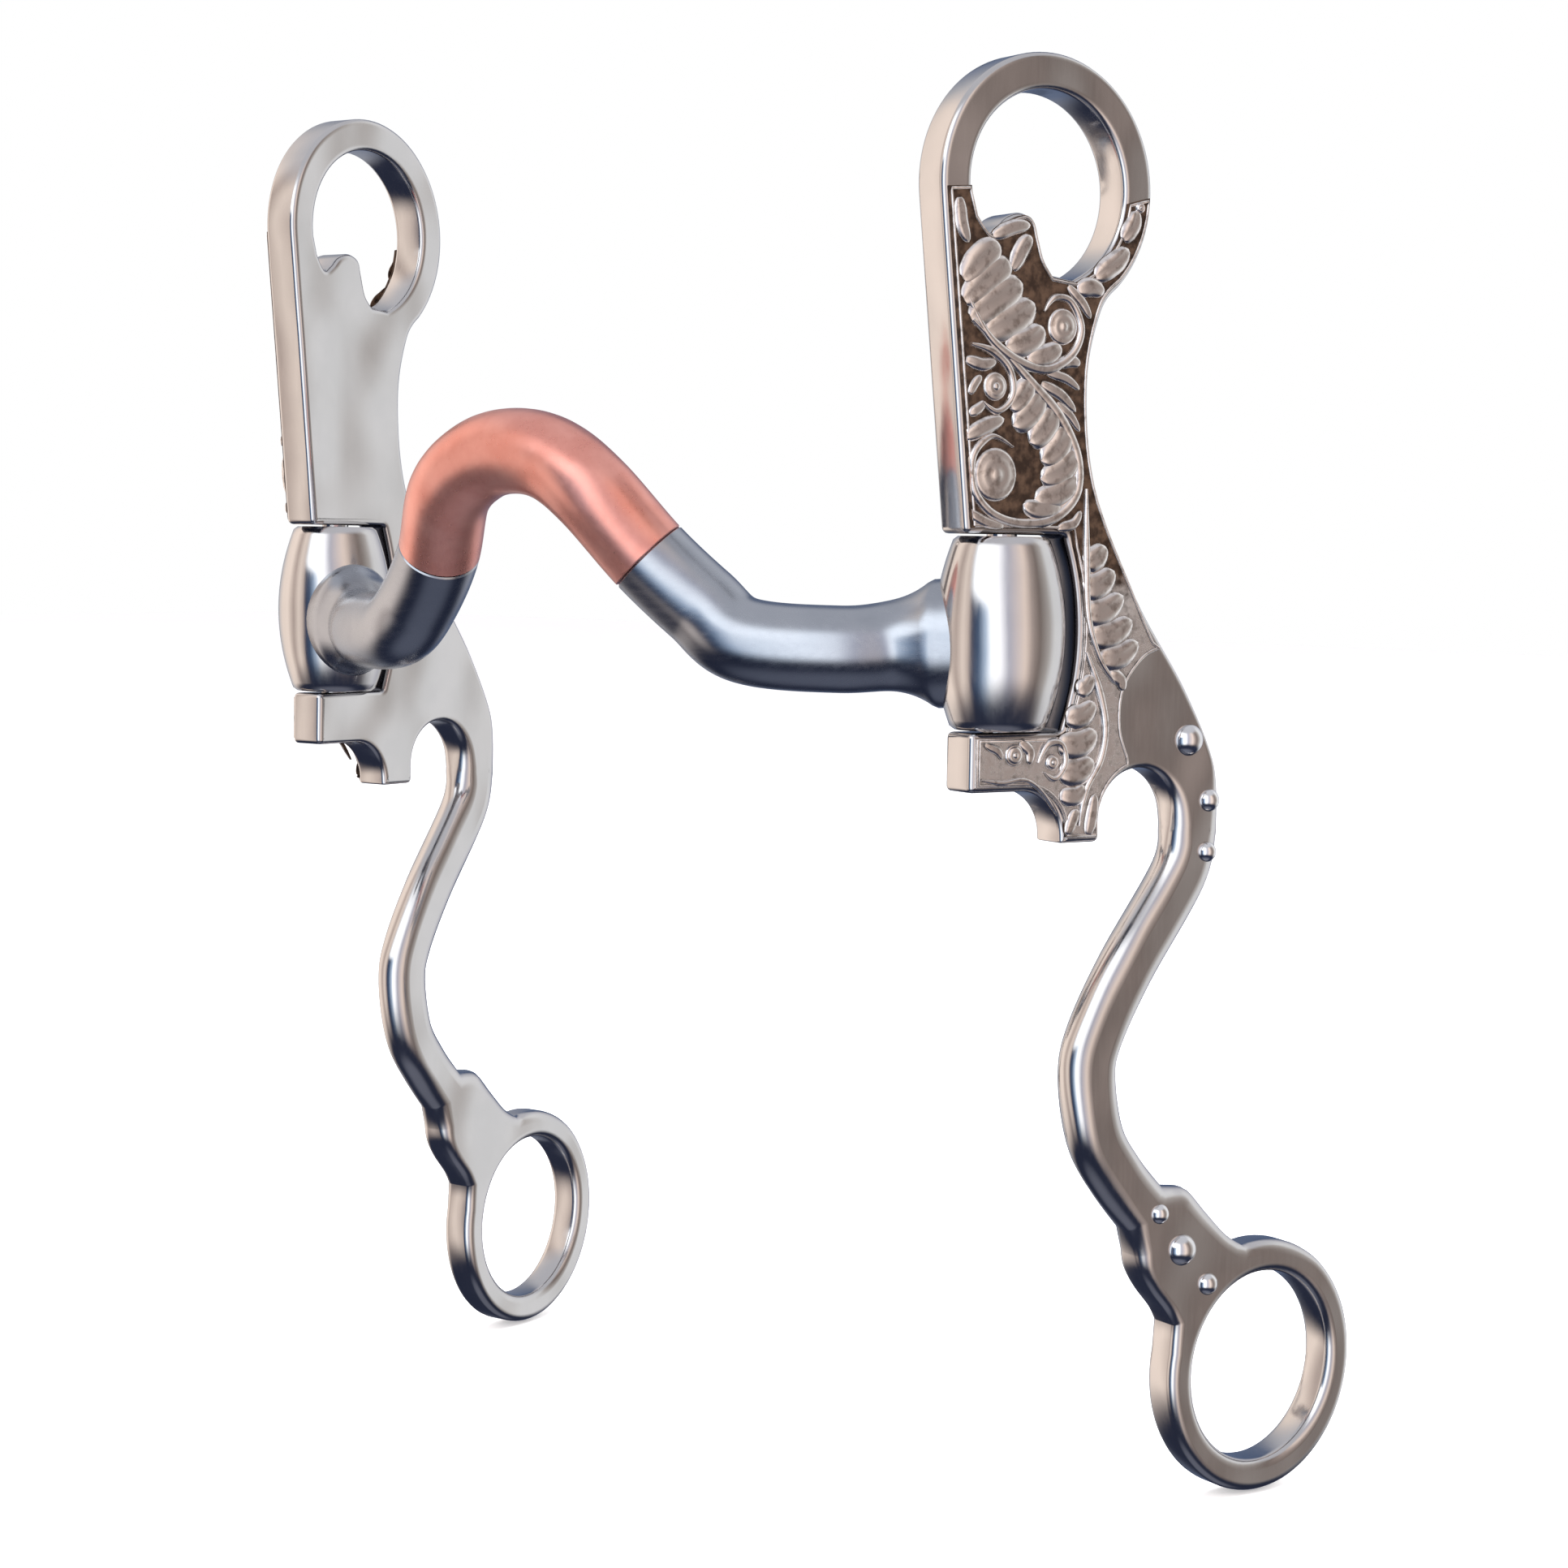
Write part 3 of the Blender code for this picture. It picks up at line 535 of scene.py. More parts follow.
for word in ("left", "right"):
    rein_hole = arc((REIN_Y, REIN_Z), REIN_HOLE, 0, 360, 80, REIN_STRETCH)[:-1]
    work = loft_plate([cheek_outline(), bridle_hole(), rein_hole], -THICK / 2, THICK / 2, edge_radius)
    # Points on the notch's rear wall get 1, which paints them dark as painted shade and reflection behind the
    # barrel
    hollow = work.verts.layers.float.new("hollow")
    for vert in work.verts:
        x, y, z = vert.co
        in_notch = y < barrel_radius(min(abs(z), BARREL_HEIGHT / 2)) + WALL_CLEARANCE + NEAR_WALL
        if NOTCH_BOTTOM - 0.0001 < z < NOTCH_TOP + 0.0001 and in_notch and abs(x) < THICK / 2 - 0.0002:
            vert[hollow] = 1
    hang(work, word)
    cheek = finish_piece(work, word + "_cheek_plate", word + "_cheek", "satin_steel", [word + "_cheek"])
    print(cheek.name, len(cheek.data.polygons), "faces")

# %% [markdown]
# ## The overlays
# A thin silver panel is soldered on each outer face and worked into scrolls. Here a dark ground plate
# carries raised leaves, each a half-round ridge extruded along a short curved path, with the heads
# full and the feet low so that they lap like shells.

# %% The panel's outline
RIM = 0.0008                  # bare edge of the cheek left round the panel
GROUND = THICK / 2 + 0.00045  # height of the dark ground


def overlay_outline():
    ring, tangent = (BRIDLE_Y, BRIDLE_Z), front_tangent()
    lean = math.radians(tangent - 180)
    points = [(FRONT_Y + math.cos(lean) * RIM, NOTCH_TOP + RIM)]
    points += arc(ring, BRIDLE_OUTER - RIM, tangent, 184, 2)
    level = BRIDLE_Z - 0.0009
    hole = bridle_hole(RIM / 2)
    points += [(ring[0] - BRIDLE_HOLE - RIM / 2, level)]
    points += [p for p in hole[60:] if p[1] < level]
    points += [p for p in hole[:60] if p[1] < level and p[0] > ring[0]]
    points += arc(ring, BRIDLE_OUTER - RIM, -1, -44, 12)[:-1]
    points += flow(neck_guides(RIM)[:5] + [(HIP - 0.0148, SLOT_Z + 0.0258)], 8)
    points += flow([(SLOT_Y + y, SLOT_Z + z) for y, z in
                    ((0.0030, 0.0252), (-0.0006, 0.0236), (-0.0040, 0.0192), (-0.0044, 0.0135),
                     (-0.0026, SLOT_RADIUS + RIM * 1.6))], 6)
    points += arc((SLOT_Y, SLOT_Z), SLOT_RADIUS + RIM, 108, 180, 12)
    points += [(PRONG_REAR - RIM, PRONG_BOTTOM + RIM), (PRONG_REAR - PRONG_WIDTH + RIM, PRONG_BOTTOM + RIM)]
    cove = (PRONG_REAR - PRONG_WIDTH - PRONG_COVE, LUG_BOTTOM - PRONG_COVE)
    points += arc(cove, PRONG_COVE + RIM, 0, 90, 12)
    points += [(LUG_FRONT_Y + RIM, LUG_BOTTOM + RIM), (LUG_FRONT_Y + RIM, NOTCH_BOTTOM - RIM)]
    wall = notch_wall(16)
    points += [(wall[0][0] + RIM, NOTCH_BOTTOM - RIM)] + [(y + RIM, z) for y, z in wall[1:-1]]
    return points + [(wall[-1][0] + RIM, NOTCH_TOP + RIM)]


print("panel outline points:", len(overlay_outline()))

# %% [markdown]
# The scroll design is kept as short lists of guide points in millimetres, in the cheek's plane. A vine
# runs on in a spiral, a leaf is short and full at its tip, and a bud closes a spiral.

# %% The scroll design
VINES = [
    (1.5, [(-9.6, 46.5), (-6.0, 41.5), (-1.0, 38.3), (4.5, 37.2), (9.0, 39.5), (10.6, 43.3), (8.6, 47.0),
           (5.6, 47.4), (3.8, 45.4)]),
    (1.7, [(-8.8, 43.6), (-3.5, 39.6), (1.8, 35.2), (7.0, 30.6), (10.4, 25.0), (10.4, 19.6), (6.4, 16.0),
           (0.4, 15.2), (-4.8, 16.6), (-8.0, 20.0), (-8.2, 24.6), (-5.0, 27.4), (-1.2, 26.0)]),
    (1.3, [(-9.0, 40.2), (-5.0, 39.2), (-2.0, 36.6), (-1.6, 33.0), (-4.2, 30.9), (-6.8, 32.2)]),
    (1.2, [(12.2, 20.4), (12.6, 10.0), (13.2, 2.0), (15.4, -4.0), (18.4, -7.8)]),
    (1.3, [(13.0, -3.2), (15.4, -8.4), (16.9, -14.0), (16.2, -19.0), (13.6, -23.4), (12.4, -28.6)]),
    (1.2, [(4.6, -19.2), (6.2, -16.6), (8.8, -16.6), (9.6, -19.4), (7.8, -21.6), (5.8, -20.6)]),
    (0.8, [(-5.6, -21.4), (-2.0, -21.9), (2.2, -21.6), (5.4, -23.4), (8.4, -27.0)]),
]
LEAVES = [
    (3.2, [(-9.6, 50.0), (-6.8, 52.6), (-4.2, 54.0)]), (3.2, [(-9.0, 47.2), (-5.2, 50.2), (-2.2, 51.4)]),
    (3.4, [(-7.6, 44.6), (-3.4, 47.4), (-0.2, 49.0)]), (3.2, [(-5.0, 42.4), (-0.8, 44.4), (2.0, 46.4)]),
    (2.8, [(-1.6, 40.2), (1.8, 41.4), (3.6, 43.2)]), (2.2, [(2.0, 38.6), (5.0, 39.4), (7.0, 40.6)]),
    (1.9, [(-1.6, 51.8), (-0.2, 54.2), (1.2, 55.8)]), (1.5, [(-4.6, 55.8), (-1.8, 56.9), (1.0, 57.3)]),
    (1.6, [(-11.4, 59.4), (-11.0, 56.8), (-9.8, 54.2)]), (1.1, [(8.8, 48.6), (10.9, 46.8), (12.3, 44.8)]),
    (1.9, [(10.4, 49.0), (12.6, 49.3), (14.6, 48.6)]), (2.3, [(14.0, 51.4), (16.8, 53.2), (18.9, 55.2)]),
    (2.0, [(18.4, 57.0), (19.8, 58.8), (20.3, 60.8)]), (1.3, [(7.0, 38.2), (9.0, 38.6), (10.6, 38.2)]),
    (1.0, [(5.4, 36.6), (8.2, 36.0), (10.6, 34.6)]), (1.2, [(4.6, 34.8), (7.4, 33.6), (10.0, 31.4)]),
    (1.0, [(7.2, 32.0), (9.2, 30.6), (10.8, 28.6)]), (2.7, [(1.4, 34.8), (-0.2, 32.8), (-2.0, 31.4)]),
    (3.0, [(3.4, 32.8), (1.4, 30.6), (-1.4, 29.0)]), (3.1, [(5.8, 30.8), (4.0, 28.4), (1.6, 26.8)]),
    (3.1, [(8.2, 28.2), (6.6, 25.8), (3.8, 24.2)]), (2.9, [(9.8, 24.8), (7.2, 22.6), (3.8, 21.6)]),
    (2.7, [(9.6, 21.0), (6.6, 19.4), (2.8, 18.8)]), (2.0, [(6.6, 17.6), (3.4, 17.2), (0.8, 17.9)]),
    (1.3, [(-9.0, 37.8), (-6.6, 37.4), (-4.4, 38.0)]), (1.0, [(-8.8, 33.6), (-8.0, 34.8), (-7.0, 35.8)]),
    (1.1, [(-8.6, 30.6), (-7.4, 31.2), (-6.2, 32.2)]), (1.7, [(-8.6, 27.6), (-5.8, 28.9), (-2.9, 29.9)]),
    (1.1, [(-8.3, 16.4), (-5.4, 15.2), (-2.4, 14.7)]), (1.1, [(8.0, 14.8), (10.2, 15.4), (11.4, 17.2)]),
    (2.6, [(12.8, 9.8), (14.6, 10.6), (16.0, 12.2)]), (2.8, [(13.0, 6.0), (15.4, 6.6), (17.8, 8.6)]),
    (2.8, [(13.6, 2.4), (16.4, 2.8), (19.6, 5.0)]), (2.8, [(14.8, -1.0), (18.0, -0.6), (21.4, 1.4)]),
    (2.6, [(16.6, -4.2), (19.6, -3.8), (22.6, -1.8)]), (1.5, [(18.0, -6.6), (19.6, -7.4), (20.0, -9.0)]),
    (2.0, [(11.9, -8.8), (13.2, -8.2), (14.2, -6.6)]), (2.5, [(10.4, -12.8), (12.8, -12.4), (14.8, -10.6)]),
    (2.8, [(9.4, -16.8), (12.6, -16.6), (15.2, -14.8)]), (2.8, [(9.6, -20.8), (12.4, -20.6), (14.8, -19.0)]),
    (2.0, [(9.6, -24.2), (11.8, -24.2), (13.4, -22.8)]), (1.4, [(10.6, -29.2), (11.4, -27.4), (12.2, -26.2)]),
    (1.6, [(14.4, -29.2), (14.9, -26.8), (15.3, -24.0)]), (1.2, [(1.8, -16.4), (3.2, -17.6), (3.0, -19.4)]),
    (0.9, [(-4.4, -16.6), (-2.6, -17.4), (-1.8, -18.6)]),
]
BUDS = [(7.2, 43.4, 2.7), (-4.2, 22.0, 3.9), (-4.6, 34.4, 2.1), (7.2, -19.2, 1.3), (0.3, -18.0, 1.7),
        (20.9, 61.2, 0.9)]
print(len(VINES), "vines,", len(LEAVES), "leaves and", len(BUDS), "buds on each side")

# %% Ridges and buds
LEAF_FULLNESS = 1.55          # how much fuller a leaf is than its listed width
SINK = 0.0001                 # how far each raised shape is let into what it stands on


def ridge(path, widths, heights, sides=8, flute=0.0):
    """A half-round ridge standing on the ground plate along a path in the plane, as a bmesh."""
    work = bmesh.new()
    corner = work.verts.layers.int.new("corner")
    for k in range(sides + 1):
        work.verts.new((0, 0, 0))[corner] = k
    verts = list(work.verts)
    for one, two in zip(verts, verts[1:] + verts[:1]):
        work.edges.new((one, two))
    ring, fresh = list(work.edges), verts
    first = ring
    for i, here in enumerate(path):
        if i:
            ring, fresh = extrude_ring(work, ring)
        along = (path[min(i + 1, len(path) - 1)] - path[max(i - 1, 0)]).normalized()
        across = Vector((-along.y, along.x))
        for vert in fresh:
            angle = math.pi * vert[corner] / sides
            foot = here - across * math.cos(angle) * widths[i] / 2
            rise = math.sin(angle) ** 0.8 * (1 - flute * (1 - math.cos(6 * angle)) / 2)
            vert.co = (GROUND - SINK + rise * heights[i], foot.x, foot.y)
    for edges in (first, ring):
        bmesh.ops.triangle_fill(work, edges=edges, use_beauty=True)
    return work


def vine(width, guides):
    path = [Vector(p) * MM for p in flow(guides, 7) + [guides[-1]]]
    shares = [i / (len(path) - 1) for i in range(len(path))]
    taper = [min(1, 0.35 + 3 * s) * (1 - 0.45 * s) * min(1, 6 * (1 - s) + 0.3) for s in shares]
    return ridge(path, [1.25 * width * MM * t for t in taper], [0.00082 * (0.5 + 0.5 * t) for t in taper])


def leaf(width, guides):
    foot = Vector(guides[0]) * 1.35 - Vector(guides[1]) * 0.35
    path = [Vector(p) * MM for p in flow([foot, *guides], 6) + [guides[-1]]]
    shares = [i / (len(path) - 1) for i in range(len(path))]
    swell = [min(1, 0.45 + 1.2 * s) for s in shares]
    tip = [math.sqrt(max(1 - max((s - 0.62) / 0.38, 0) ** 2, 0.01)) for s in shares]
    full = min(width / 2.4, 1)
    return ridge(path, [LEAF_FULLNESS * width * MM * a * b for a, b in zip(swell, tip)],
                 [(0.00026 + 0.00062 * full) * a * (0.35 + 0.65 * b) for a, b in zip(swell, tip)],
                 12, 0.20 * full)


def bud(y, z, radius):
    """A low dome with a raised lip."""
    work = bmesh.new()
    shape = [(0, 0.78), (0.18, 0.75), (0.26, 0.60), (0.42, 0.66), (0.62, 0.62), (0.74, 0.44), (0.82, 0.46),
             (0.93, 0.34), (1.0, 0.0)]
    verts = [work.verts.new((h * MM, 0, r * radius * MM)) for r, h in shape]
    for one, two in zip(verts, verts[1:]):
        work.edges.new((one, two))
    bmesh.ops.spin(work, geom=list(work.verts) + list(work.edges), cent=(0, 0, 0), axis=(1, 0, 0),
                   angle=math.tau, steps=28, use_merge=True)
    bmesh.ops.remove_doubles(work, verts=work.verts, dist=WELD)
    base = [e for e in work.edges if e.is_boundary]
    bmesh.ops.triangle_fill(work, edges=base, use_beauty=True)
    bmesh.ops.translate(work, verts=work.verts, vec=(GROUND - SINK, y * MM, z * MM))
    return work


def gather(work, piece):
    """Add one bmesh to another."""
    bmesh.ops.recalc_face_normals(piece, faces=piece.faces)
    mesh = bpy.data.meshes.new("gathered")
    piece.to_mesh(mesh)
    piece.free()
    work.from_mesh(mesh)
    bpy.data.meshes.remove(mesh)


print("a leaf has", len(leaf(*LEAVES[0]).faces), "faces")

# %% Both overlays
WORN_GROUND = 0.40            # how bright the ground is rubbed beside and below the hinge
CROWN_HEIGHT = 0.00042        # height above the ground at which a scroll is fully bright


def scroll_panel():
    outline = overlay_outline()
    work = loft_plate([outline], THICK / 2 - SINK, GROUND, lambda y, z: 0.00012, 2)
    ground_points = len(work.verts)
    rim = [Vector(p) + step * 0.00036 for p, step in zip(outline, inward(outline, False))]
    rim = [p for i, p in enumerate(rim) if (p - rim[i - 1]).length > 0.00018]
    gather(work, ridge(rim + rim[:1], [0.00050] * (len(rim) + 1), [0.00034] * (len(rim) + 1), 6))
    for shape, items in ((vine, VINES), (leaf, LEAVES), (bud, BUDS)):
        for item in items:
            gather(work, shape(*item))
    crown = work.verts.layers.float.new("crown")
    low, high = outline[0], outline[1]
    for number, vert in enumerate(work.verts):
        worn = WORN_GROUND * min(max((0.010 - vert.co.z) / 0.008, 0), 1) if number < ground_points else 0
        vert[crown] = min(max((vert.co.x - GROUND) / CROWN_HEIGHT, worn), 1)
        if low[1] < vert.co.z < high[1]:
            share = (vert.co.z - low[1]) / (high[1] - low[1])
            vert.co.y = max(vert.co.y, low[0] + (high[0] - low[0]) * share)
    return work


for word in ("left", "right"):
    work = scroll_panel()
    bmesh.ops.scale(work, vec=(SIDE[word], 1, 1), verts=work.verts)
    hang(work, word)
    panel = finish_piece(work, word + "_scroll_overlay", word + "_cheek", "engraved_silver",
                         [word + "_overlay_panel"], 50)
    print(panel.name, len(panel.data.polygons), "faces")

# %% [markdown]
# ## Domed studs
# Three domes sit beside the curb slot and three above the rein ring. Each is a short arc turned once
# round, as a dapped silver dome is round.

# %% Studs
DOME_RISE = 0.70              # height of a dome as a share of its radius


def stud_places():
    """Name, place and radius of the six studs of a cheek."""
    return [("upper_large_stud", (HIP - 0.0074, SLOT_Z + 0.0115), 0.0024),
            ("upper_medium_stud", (HIP - 0.0031, SLOT_Z + 0.0023), 0.0017),
            ("upper_small_stud", (HIP - 0.0032, SLOT_Z - 0.0055), 0.0015),
            ("lower_small_stud", (REIN_Y - 0.0218, REIN_Z + 0.0264), 0.0015),
            ("lower_large_stud", (REIN_Y - 0.0172, REIN_Z + 0.0204), 0.0024),
            ("lower_medium_stud", (REIN_Y - 0.0119, REIN_Z + 0.0145), 0.0017)]


def spun(profile, axis, steps=64):
    """A bmesh turned once round an axis from a list of points."""
    work = bmesh.new()
    verts = [work.verts.new(p) for p in profile]
    for one, two in zip(verts, verts[1:]):
        work.edges.new((one, two))
    bmesh.ops.spin(work, geom=list(work.verts) + list(work.edges), cent=(0, 0, 0), axis=axis,
                   angle=math.tau, steps=steps, use_merge=True)
    bmesh.ops.remove_doubles(work, verts=work.verts, dist=WELD)
    return work


for word in ("left", "right"):
    for name, (y, z), radius in stud_places():
        height = radius * DOME_RISE
        ball = (radius ** 2 + height ** 2) / (2 * height)
        reach = math.asin(radius / ball)
        curve = [(ball * math.cos(reach * i / 12) - ball + height, 0, ball * math.sin(reach * i / 12))
                 for i in range(13)]
        work = spun(curve + [(-0.0002, 0, radius), (-0.0002, 0, 0)], (1, 0, 0), 40)
        bmesh.ops.translate(work, verts=work.verts, vec=(THICK / 2 + GAP - SINK, y, z))
        bmesh.ops.scale(work, vec=(SIDE[word], 1, 1), verts=work.verts)
        hang(work, word)
        finish_piece(work, f"{word}_{name}_dome", word + "_cheek", "polished_steel", [f"{word}_{name}"])
print("studs made:", 2 * len(stud_places()))

# %% [markdown]
# ## Barrels and pins
# Each end of the mouthpiece carries a bulged barrel, bored for the pin it swings on. The profile runs
# round the barrel's wall, bore included, and is turned into a solid of revolution.

# %% Barrels
BARREL_CHAMFER, PIN_BORE = 0.0005, 0.0025


def barrel_profile():
    """The closed outline of a barrel's wall, bore included."""
    half, chamfer, bore = BARREL_HEIGHT / 2, BARREL_CHAMFER, PIN_BORE
    outside = [(barrel_radius(half) - chamfer, half)]
    outside += [(barrel_radius(z), z) for z in
                [half - chamfer - (2 * half - 2 * chamfer) * i / 30 for i in range(31)]]
    outside += [(barrel_radius(half) - chamfer, -half)]
    wall = [(bore, half)] + outside + [(bore, -half), (bore, half)]
    return [(radius, 0, BARREL_MIDDLE + z) for radius, z in wall]


for word in ("left", "right"):
    work = spun(barrel_profile(), (0, 0, 1), 96)
    bmesh.ops.translate(work, verts=work.verts, vec=(SIDE[word] * HINGE, 0, 0))
    finish_piece(work, word + "_barrel", "mouthpiece", "satin_steel", [word + "_hinge_barrel"])
    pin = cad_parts[word + "_hinge_pin"]
    for place in pin.material_slots:
        place.material = satin_steel
    print(word, "barrel made; pin finishes:", [m.material.name for m in pin.material_slots])

# %% [markdown]
# ## The mouthpiece
# One half inch bar, bent up into a port, with a copper sleeve over the port. A circle is extruded along
# the bar's middle line and turned with it, so the bar stays round through every bend.

# %% The bar's middle line
BAR_RADIUS, SLEEVE_WALL, SEAM_X = 0.00635, 0.0011, 0.0210
ARM_SWEEP, KNEE_X, KNEE_Z, PORT_RISE, PORT_FORWARD = 0.0180, 0.0345, -0.0030, 0.0248, 0.0296


def bar_route(steps=20):
    """Points along the bar's middle line, from the right hinge to the left one."""
    half = [(HINGE, 0, KNEE_Z + 0.0013), (HINGE - 0.0130, -ARM_SWEEP * 0.33, KNEE_Z + 0.0003),
            ((HINGE + KNEE_X) / 2 - 0.0040, -ARM_SWEEP * 0.66, KNEE_Z - 0.0004),
            (KNEE_X, -ARM_SWEEP, KNEE_Z + 0.0006), (KNEE_X - 0.0065, -ARM_SWEEP - 0.0021, KNEE_Z + 0.0055),
            (SEAM_X, -PORT_FORWARD + 0.0060, KNEE_Z + 0.0125),
            (SEAM_X * 0.68, -PORT_FORWARD + 0.0012, PORT_RISE - 0.0062),
            (SEAM_X * 0.35, -PORT_FORWARD + 0.0002, PORT_RISE - 0.0014), (0, -PORT_FORWARD, PORT_RISE)]
    whole = half + [(-x, y, z) for x, y, z in half[-2::-1]]
    return [Vector(p) for p in flow(whole, steps)]


def sweep(route, radii, lift=lambda where: 1.0, sides=48):
    """A circle carried along a route, made taller by lift and closed at both ends, as a bmesh."""
    work = bmesh.new()
    bmesh.ops.create_circle(work, segments=sides, radius=1)
    ring, fresh = list(work.edges), list(work.verts)
    first, before, frame_up = ring, Matrix.Identity(4), Vector((0, 0, 1))
    for i, (here, radius) in enumerate(zip(route, radii)):
        if i:
            ring, fresh = extrude_ring(work, ring)
            fresh = list(fresh)
        along = (route[min(i + 1, len(route) - 1)] - route[max(i - 1, 0)]).normalized()
        frame_up = (frame_up - along * frame_up.dot(along)).normalized()
        turn = Matrix((frame_up.cross(along), frame_up, along)).transposed().to_4x4()
        tall = Matrix.Diagonal((1, 1, lift(here), 1))
        after = Matrix.Translation(here) @ tall @ turn @ Matrix.Scale(radius, 4)
        bmesh.ops.transform(work, matrix=after @ before.inverted(), verts=fresh)
        before = after
    for edges in (first, ring):
        bmesh.ops.triangle_fill(work, edges=edges, use_beauty=True)
    return work


route = bar_route()
seam = next(i for i, p in enumerate(route) if p.x <= SEAM_X)
print("route points:", len(route), "seam at", tuple(round(v / MM, 1) for v in route[seam]))

# %% Bar and sleeve
BAR_END = 0.0035              # of the bar from the hinge axis, inside the barrel and clear of the pin
SEAM_BREAK = 0.00020          # of the bar's edge at each end of the sleeve


def swelling(where, begin, length, power):
    """1 where the bar meets the barrel, falling to 0 a length further along the arm."""
    out = max(HINGE - abs(where.x) - begin, 0)
    return max(0, 1 - out / length) ** power


def bar_radius(where):
    """Full radius along the arms, with a small flare into the barrel."""
    return BAR_RADIUS * (1 + 0.17 * swelling(where, 0.0090, 0.0090, 2.0))


def bar_lift(where):
    """How much taller than wide the bar is where its fillet runs up the barrel."""
    return 1 + 0.26 * swelling(where, 0.0085, 0.0080, 2.5)


last = len(route) - 1 - seam
core = BAR_RADIUS - SLEEVE_WALL - GAP
full = bar_radius(route[seam])
shoulder = ((-SEAM_BREAK, full), (0.00001, full - SEAM_BREAK), (0.00002, core))
rings_at = {seam: shoulder, last: tuple((-offset, radius) for offset, radius in shoulder[::-1])}
points, radii = [], []
for i, where in enumerate(route):
    if HINGE - abs(where.x) < BAR_END:
        continue
    plain_ring = ((0, core if seam < i < last else bar_radius(where)),)
    for offset, radius in rings_at.get(i, plain_ring):
        along = (route[i + 1] - route[i - 1]).normalized()
        points.append(where + along * offset)
        radii.append(radius)
bar = finish_piece(sweep(points, radii, bar_lift), "mouth_bar", "mouthpiece", "bar_steel",
                   ["mouthpiece_bar"])

body = route[seam + 1:last]
start = (route[seam + 1] - route[seam]).normalized()
finish = (route[last] - route[last - 1]).normalized()
ends = ((0.00018, core), (0.00019, BAR_RADIUS - 0.00022), (0.00036, BAR_RADIUS))
head = [(route[seam] + start * along, radius) for along, radius in ends]
tail = [(route[last] - finish * along, radius) for along, radius in ends[::-1]]
whole = head + [(p, BAR_RADIUS) for p in body] + tail
sleeve = finish_piece(sweep([p for p, _ in whole], [r for _, r in whole]), "copper_port_sleeve",
                      "mouthpiece", "copper", ["copper_sleeve"])
print(bar.name, len(bar.data.polygons), sleeve.name, len(sleeve.data.polygons))

# %% [markdown]
# ## The studio
# Polished metal shows its surroundings more than itself. The surroundings here are a soft room: bright
# above, a deep blue shadow low down, and warm and dark upright bands round about, like the walls and
# flags of a product studio. The floor is plain and pale.

# %% Surroundings
def bare_tree(world):
    world.use_nodes = True
    world.node_tree.nodes.clear()
    return Nodes(world.node_tree)


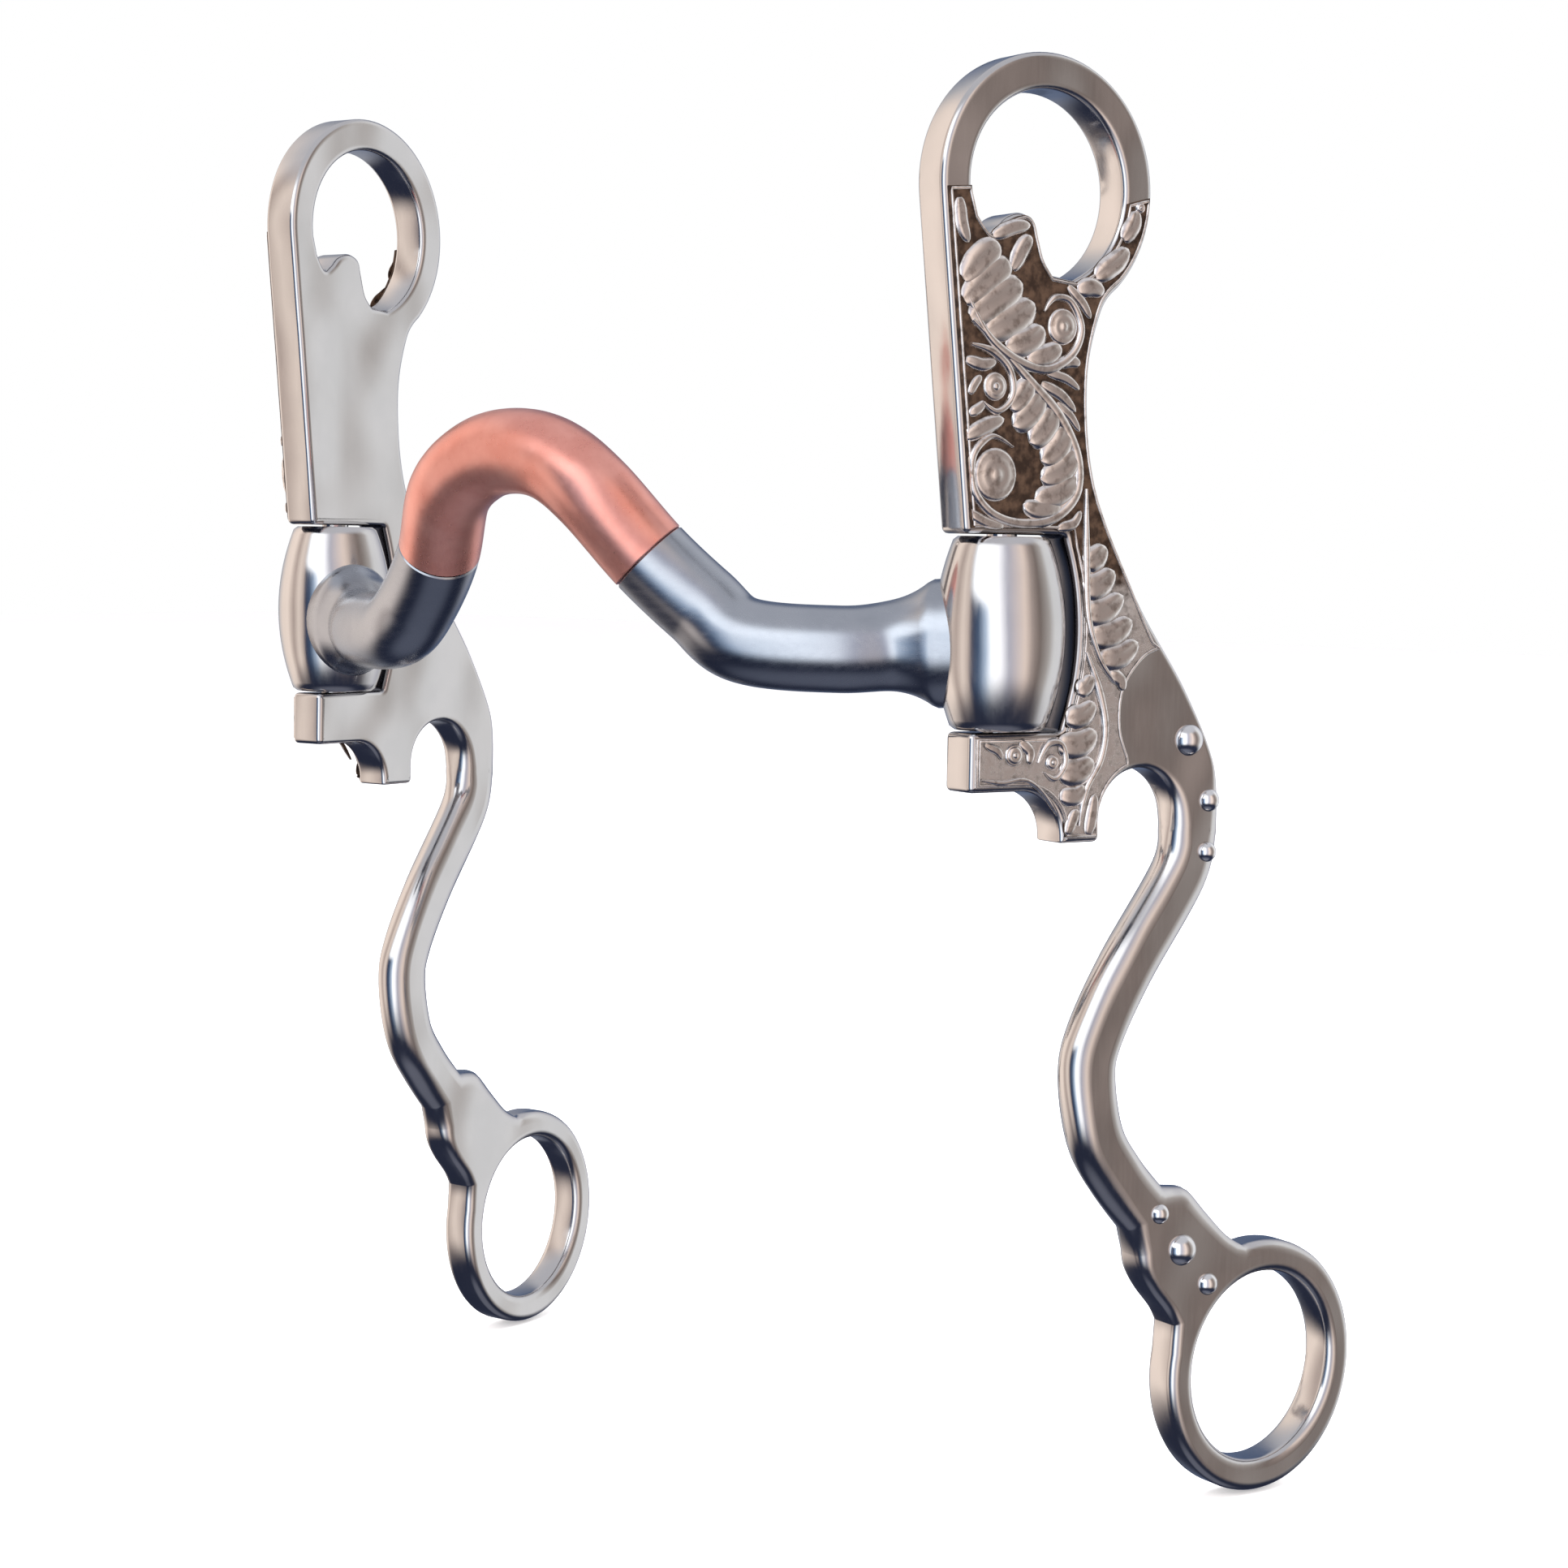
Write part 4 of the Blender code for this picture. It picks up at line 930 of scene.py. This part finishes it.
def surroundings():
    """A room of upright bands that only reflections see. Straight on it is white."""
    world = bpy.data.worlds.new("studio")
    bpy.context.scene.world = world
    nodes = bare_tree(world)
    direction = nodes.add("ShaderNodeTexCoord", output=0)
    parts = nodes.add("ShaderNodeSeparateXYZ", None, {"Vector": direction})
    x, y, z = (Value(nodes, parts.socket.node.outputs[i]) for i in range(3))
    around = nodes.add("ShaderNodeMath", {"operation": "ARCTAN2"}, {0: x, 1: 0 - y})
    turned = nodes.add("ShaderNodeMath", {"operation": "FRACT"},
                       {0: (around - CAMERA_TURN) / math.tau + 0.5})
    walls = nodes.add("ShaderNodeValToRGB", {"stops": [
        (0.00, (0.16, 0.20, 0.30)), (0.07, (0.55, 0.55, 0.58)), (0.14, (1.15, 0.98, 0.86)),
        (0.20, (1.30, 1.10, 0.96)), (0.25, (0.62, 0.50, 0.44)), (0.29, (1.15, 0.98, 0.86)),
        (0.322, (0.80, 0.66, 0.58)), (0.338, (0.05, 0.06, 0.11)), (0.375, (0.07, 0.12, 0.22)),
        (0.41, (0.62, 0.78, 1.00)), (0.44, (1.90, 1.95, 2.00)), (0.475, (1.70, 1.70, 1.75)),
        (0.52, (0.62, 0.62, 0.72)), (0.61, (1.15, 0.95, 0.83)), (0.655, (0.50, 0.41, 0.37)),
        (0.70, (0.25, 0.20, 0.18)), (0.76, (0.55, 0.51, 0.48)), (0.80, (0.95, 0.95, 0.95)),
        (0.86, (0.92, 0.92, 0.94)), (0.92, (0.60, 0.60, 0.66)), (0.96, (0.10, 0.14, 0.24)),
        (1.00, (0.16, 0.20, 0.30))]}, {"Fac": turned})
    near = nodes.step(turned, 0.31, 0.36) * (1 - nodes.step(turned, 0.42, 0.46))
    band = nodes.blend(walls, (2.1, 2.15, 2.2), nodes.step(z, 0.24, 0.36) * near)
    above = nodes.blend(band, (0.66, 0.66, 0.70), nodes.step(z, 0.58, 0.84))
    low = nodes.blend((0.16, 0.17, 0.22), (0.028, 0.034, 0.062), nodes.step(z, -0.98, -0.80))
    room = nodes.blend(low, above, nodes.step(z, -0.66, -0.30))
    seen = nodes.add("ShaderNodeLightPath", output=0)
    colour = nodes.blend(room, (1.0, 1.0, 1.0), seen)
    glow = nodes.add("ShaderNodeBackground", None, {"Color": colour, "Strength": 1.0})
    nodes.add("ShaderNodeOutputWorld", None, {"Surface": glow})
    return world


print("surroundings:", surroundings().name)

# %% Floor and lights
def add_floor():
    work = bmesh.new()
    bmesh.ops.create_grid(work, x_segments=1, y_segments=1, size=4)
    bmesh.ops.translate(work, verts=work.verts, vec=(0, 0, cad_box[0][2] - 0.0005))
    mesh = bpy.data.meshes.new("floor")
    work.to_mesh(mesh)
    work.free()
    made = bpy.data.objects.new("floor", mesh)
    paint = bpy.data.materials.new("pale_floor")
    paint.use_nodes = True
    shader = paint.node_tree.nodes["Principled BSDF"]
    shader.inputs["Base Color"].default_value = (0.93, 0.93, 0.93, 1)
    shader.inputs["Roughness"].default_value = 0.8
    shader.inputs["Emission Color"].default_value = (1, 1, 1, 1)
    shader.inputs["Emission Strength"].default_value = 0.30
    mesh.materials.append(paint)
    made.visible_glossy = False
    bpy.context.scene.collection.objects.link(made)


def add_light(name, place, aim, size, power, colour=(1, 1, 1)):
    lamp = bpy.data.lights.new(name, "AREA")
    lamp.shape, lamp.size, lamp.size_y = "RECTANGLE", *size
    lamp.energy, lamp.color = power, colour
    made = bpy.data.objects.new(name, lamp)
    made.location = place
    made.rotation_euler = (Vector(aim) - Vector(place)).to_track_quat("-Z", "Y").to_euler()
    made.visible_glossy = False
    bpy.context.scene.collection.objects.link(made)


add_floor()
add_light("top_box", (0.1, -0.1, 1.3), (0, 0, 0), (1.6, 1.6), 28)
add_light("front_left_box", (-0.65, -0.9, 0.45), (0, 0, 0), (0.5, 0.9), 7)
add_light("right_box", (1.0, -0.25, 0.35), (0.05, 0, 0), (0.5, 0.8), 6, (1, 0.95, 0.9))
add_light("rear_box", (0.2, 1.1, 0.6), (0, 0, 0), (1.2, 0.6), 9)
bpy.context.scene.view_settings.view_transform = "Standard"

# %% [markdown]
# ## Finish
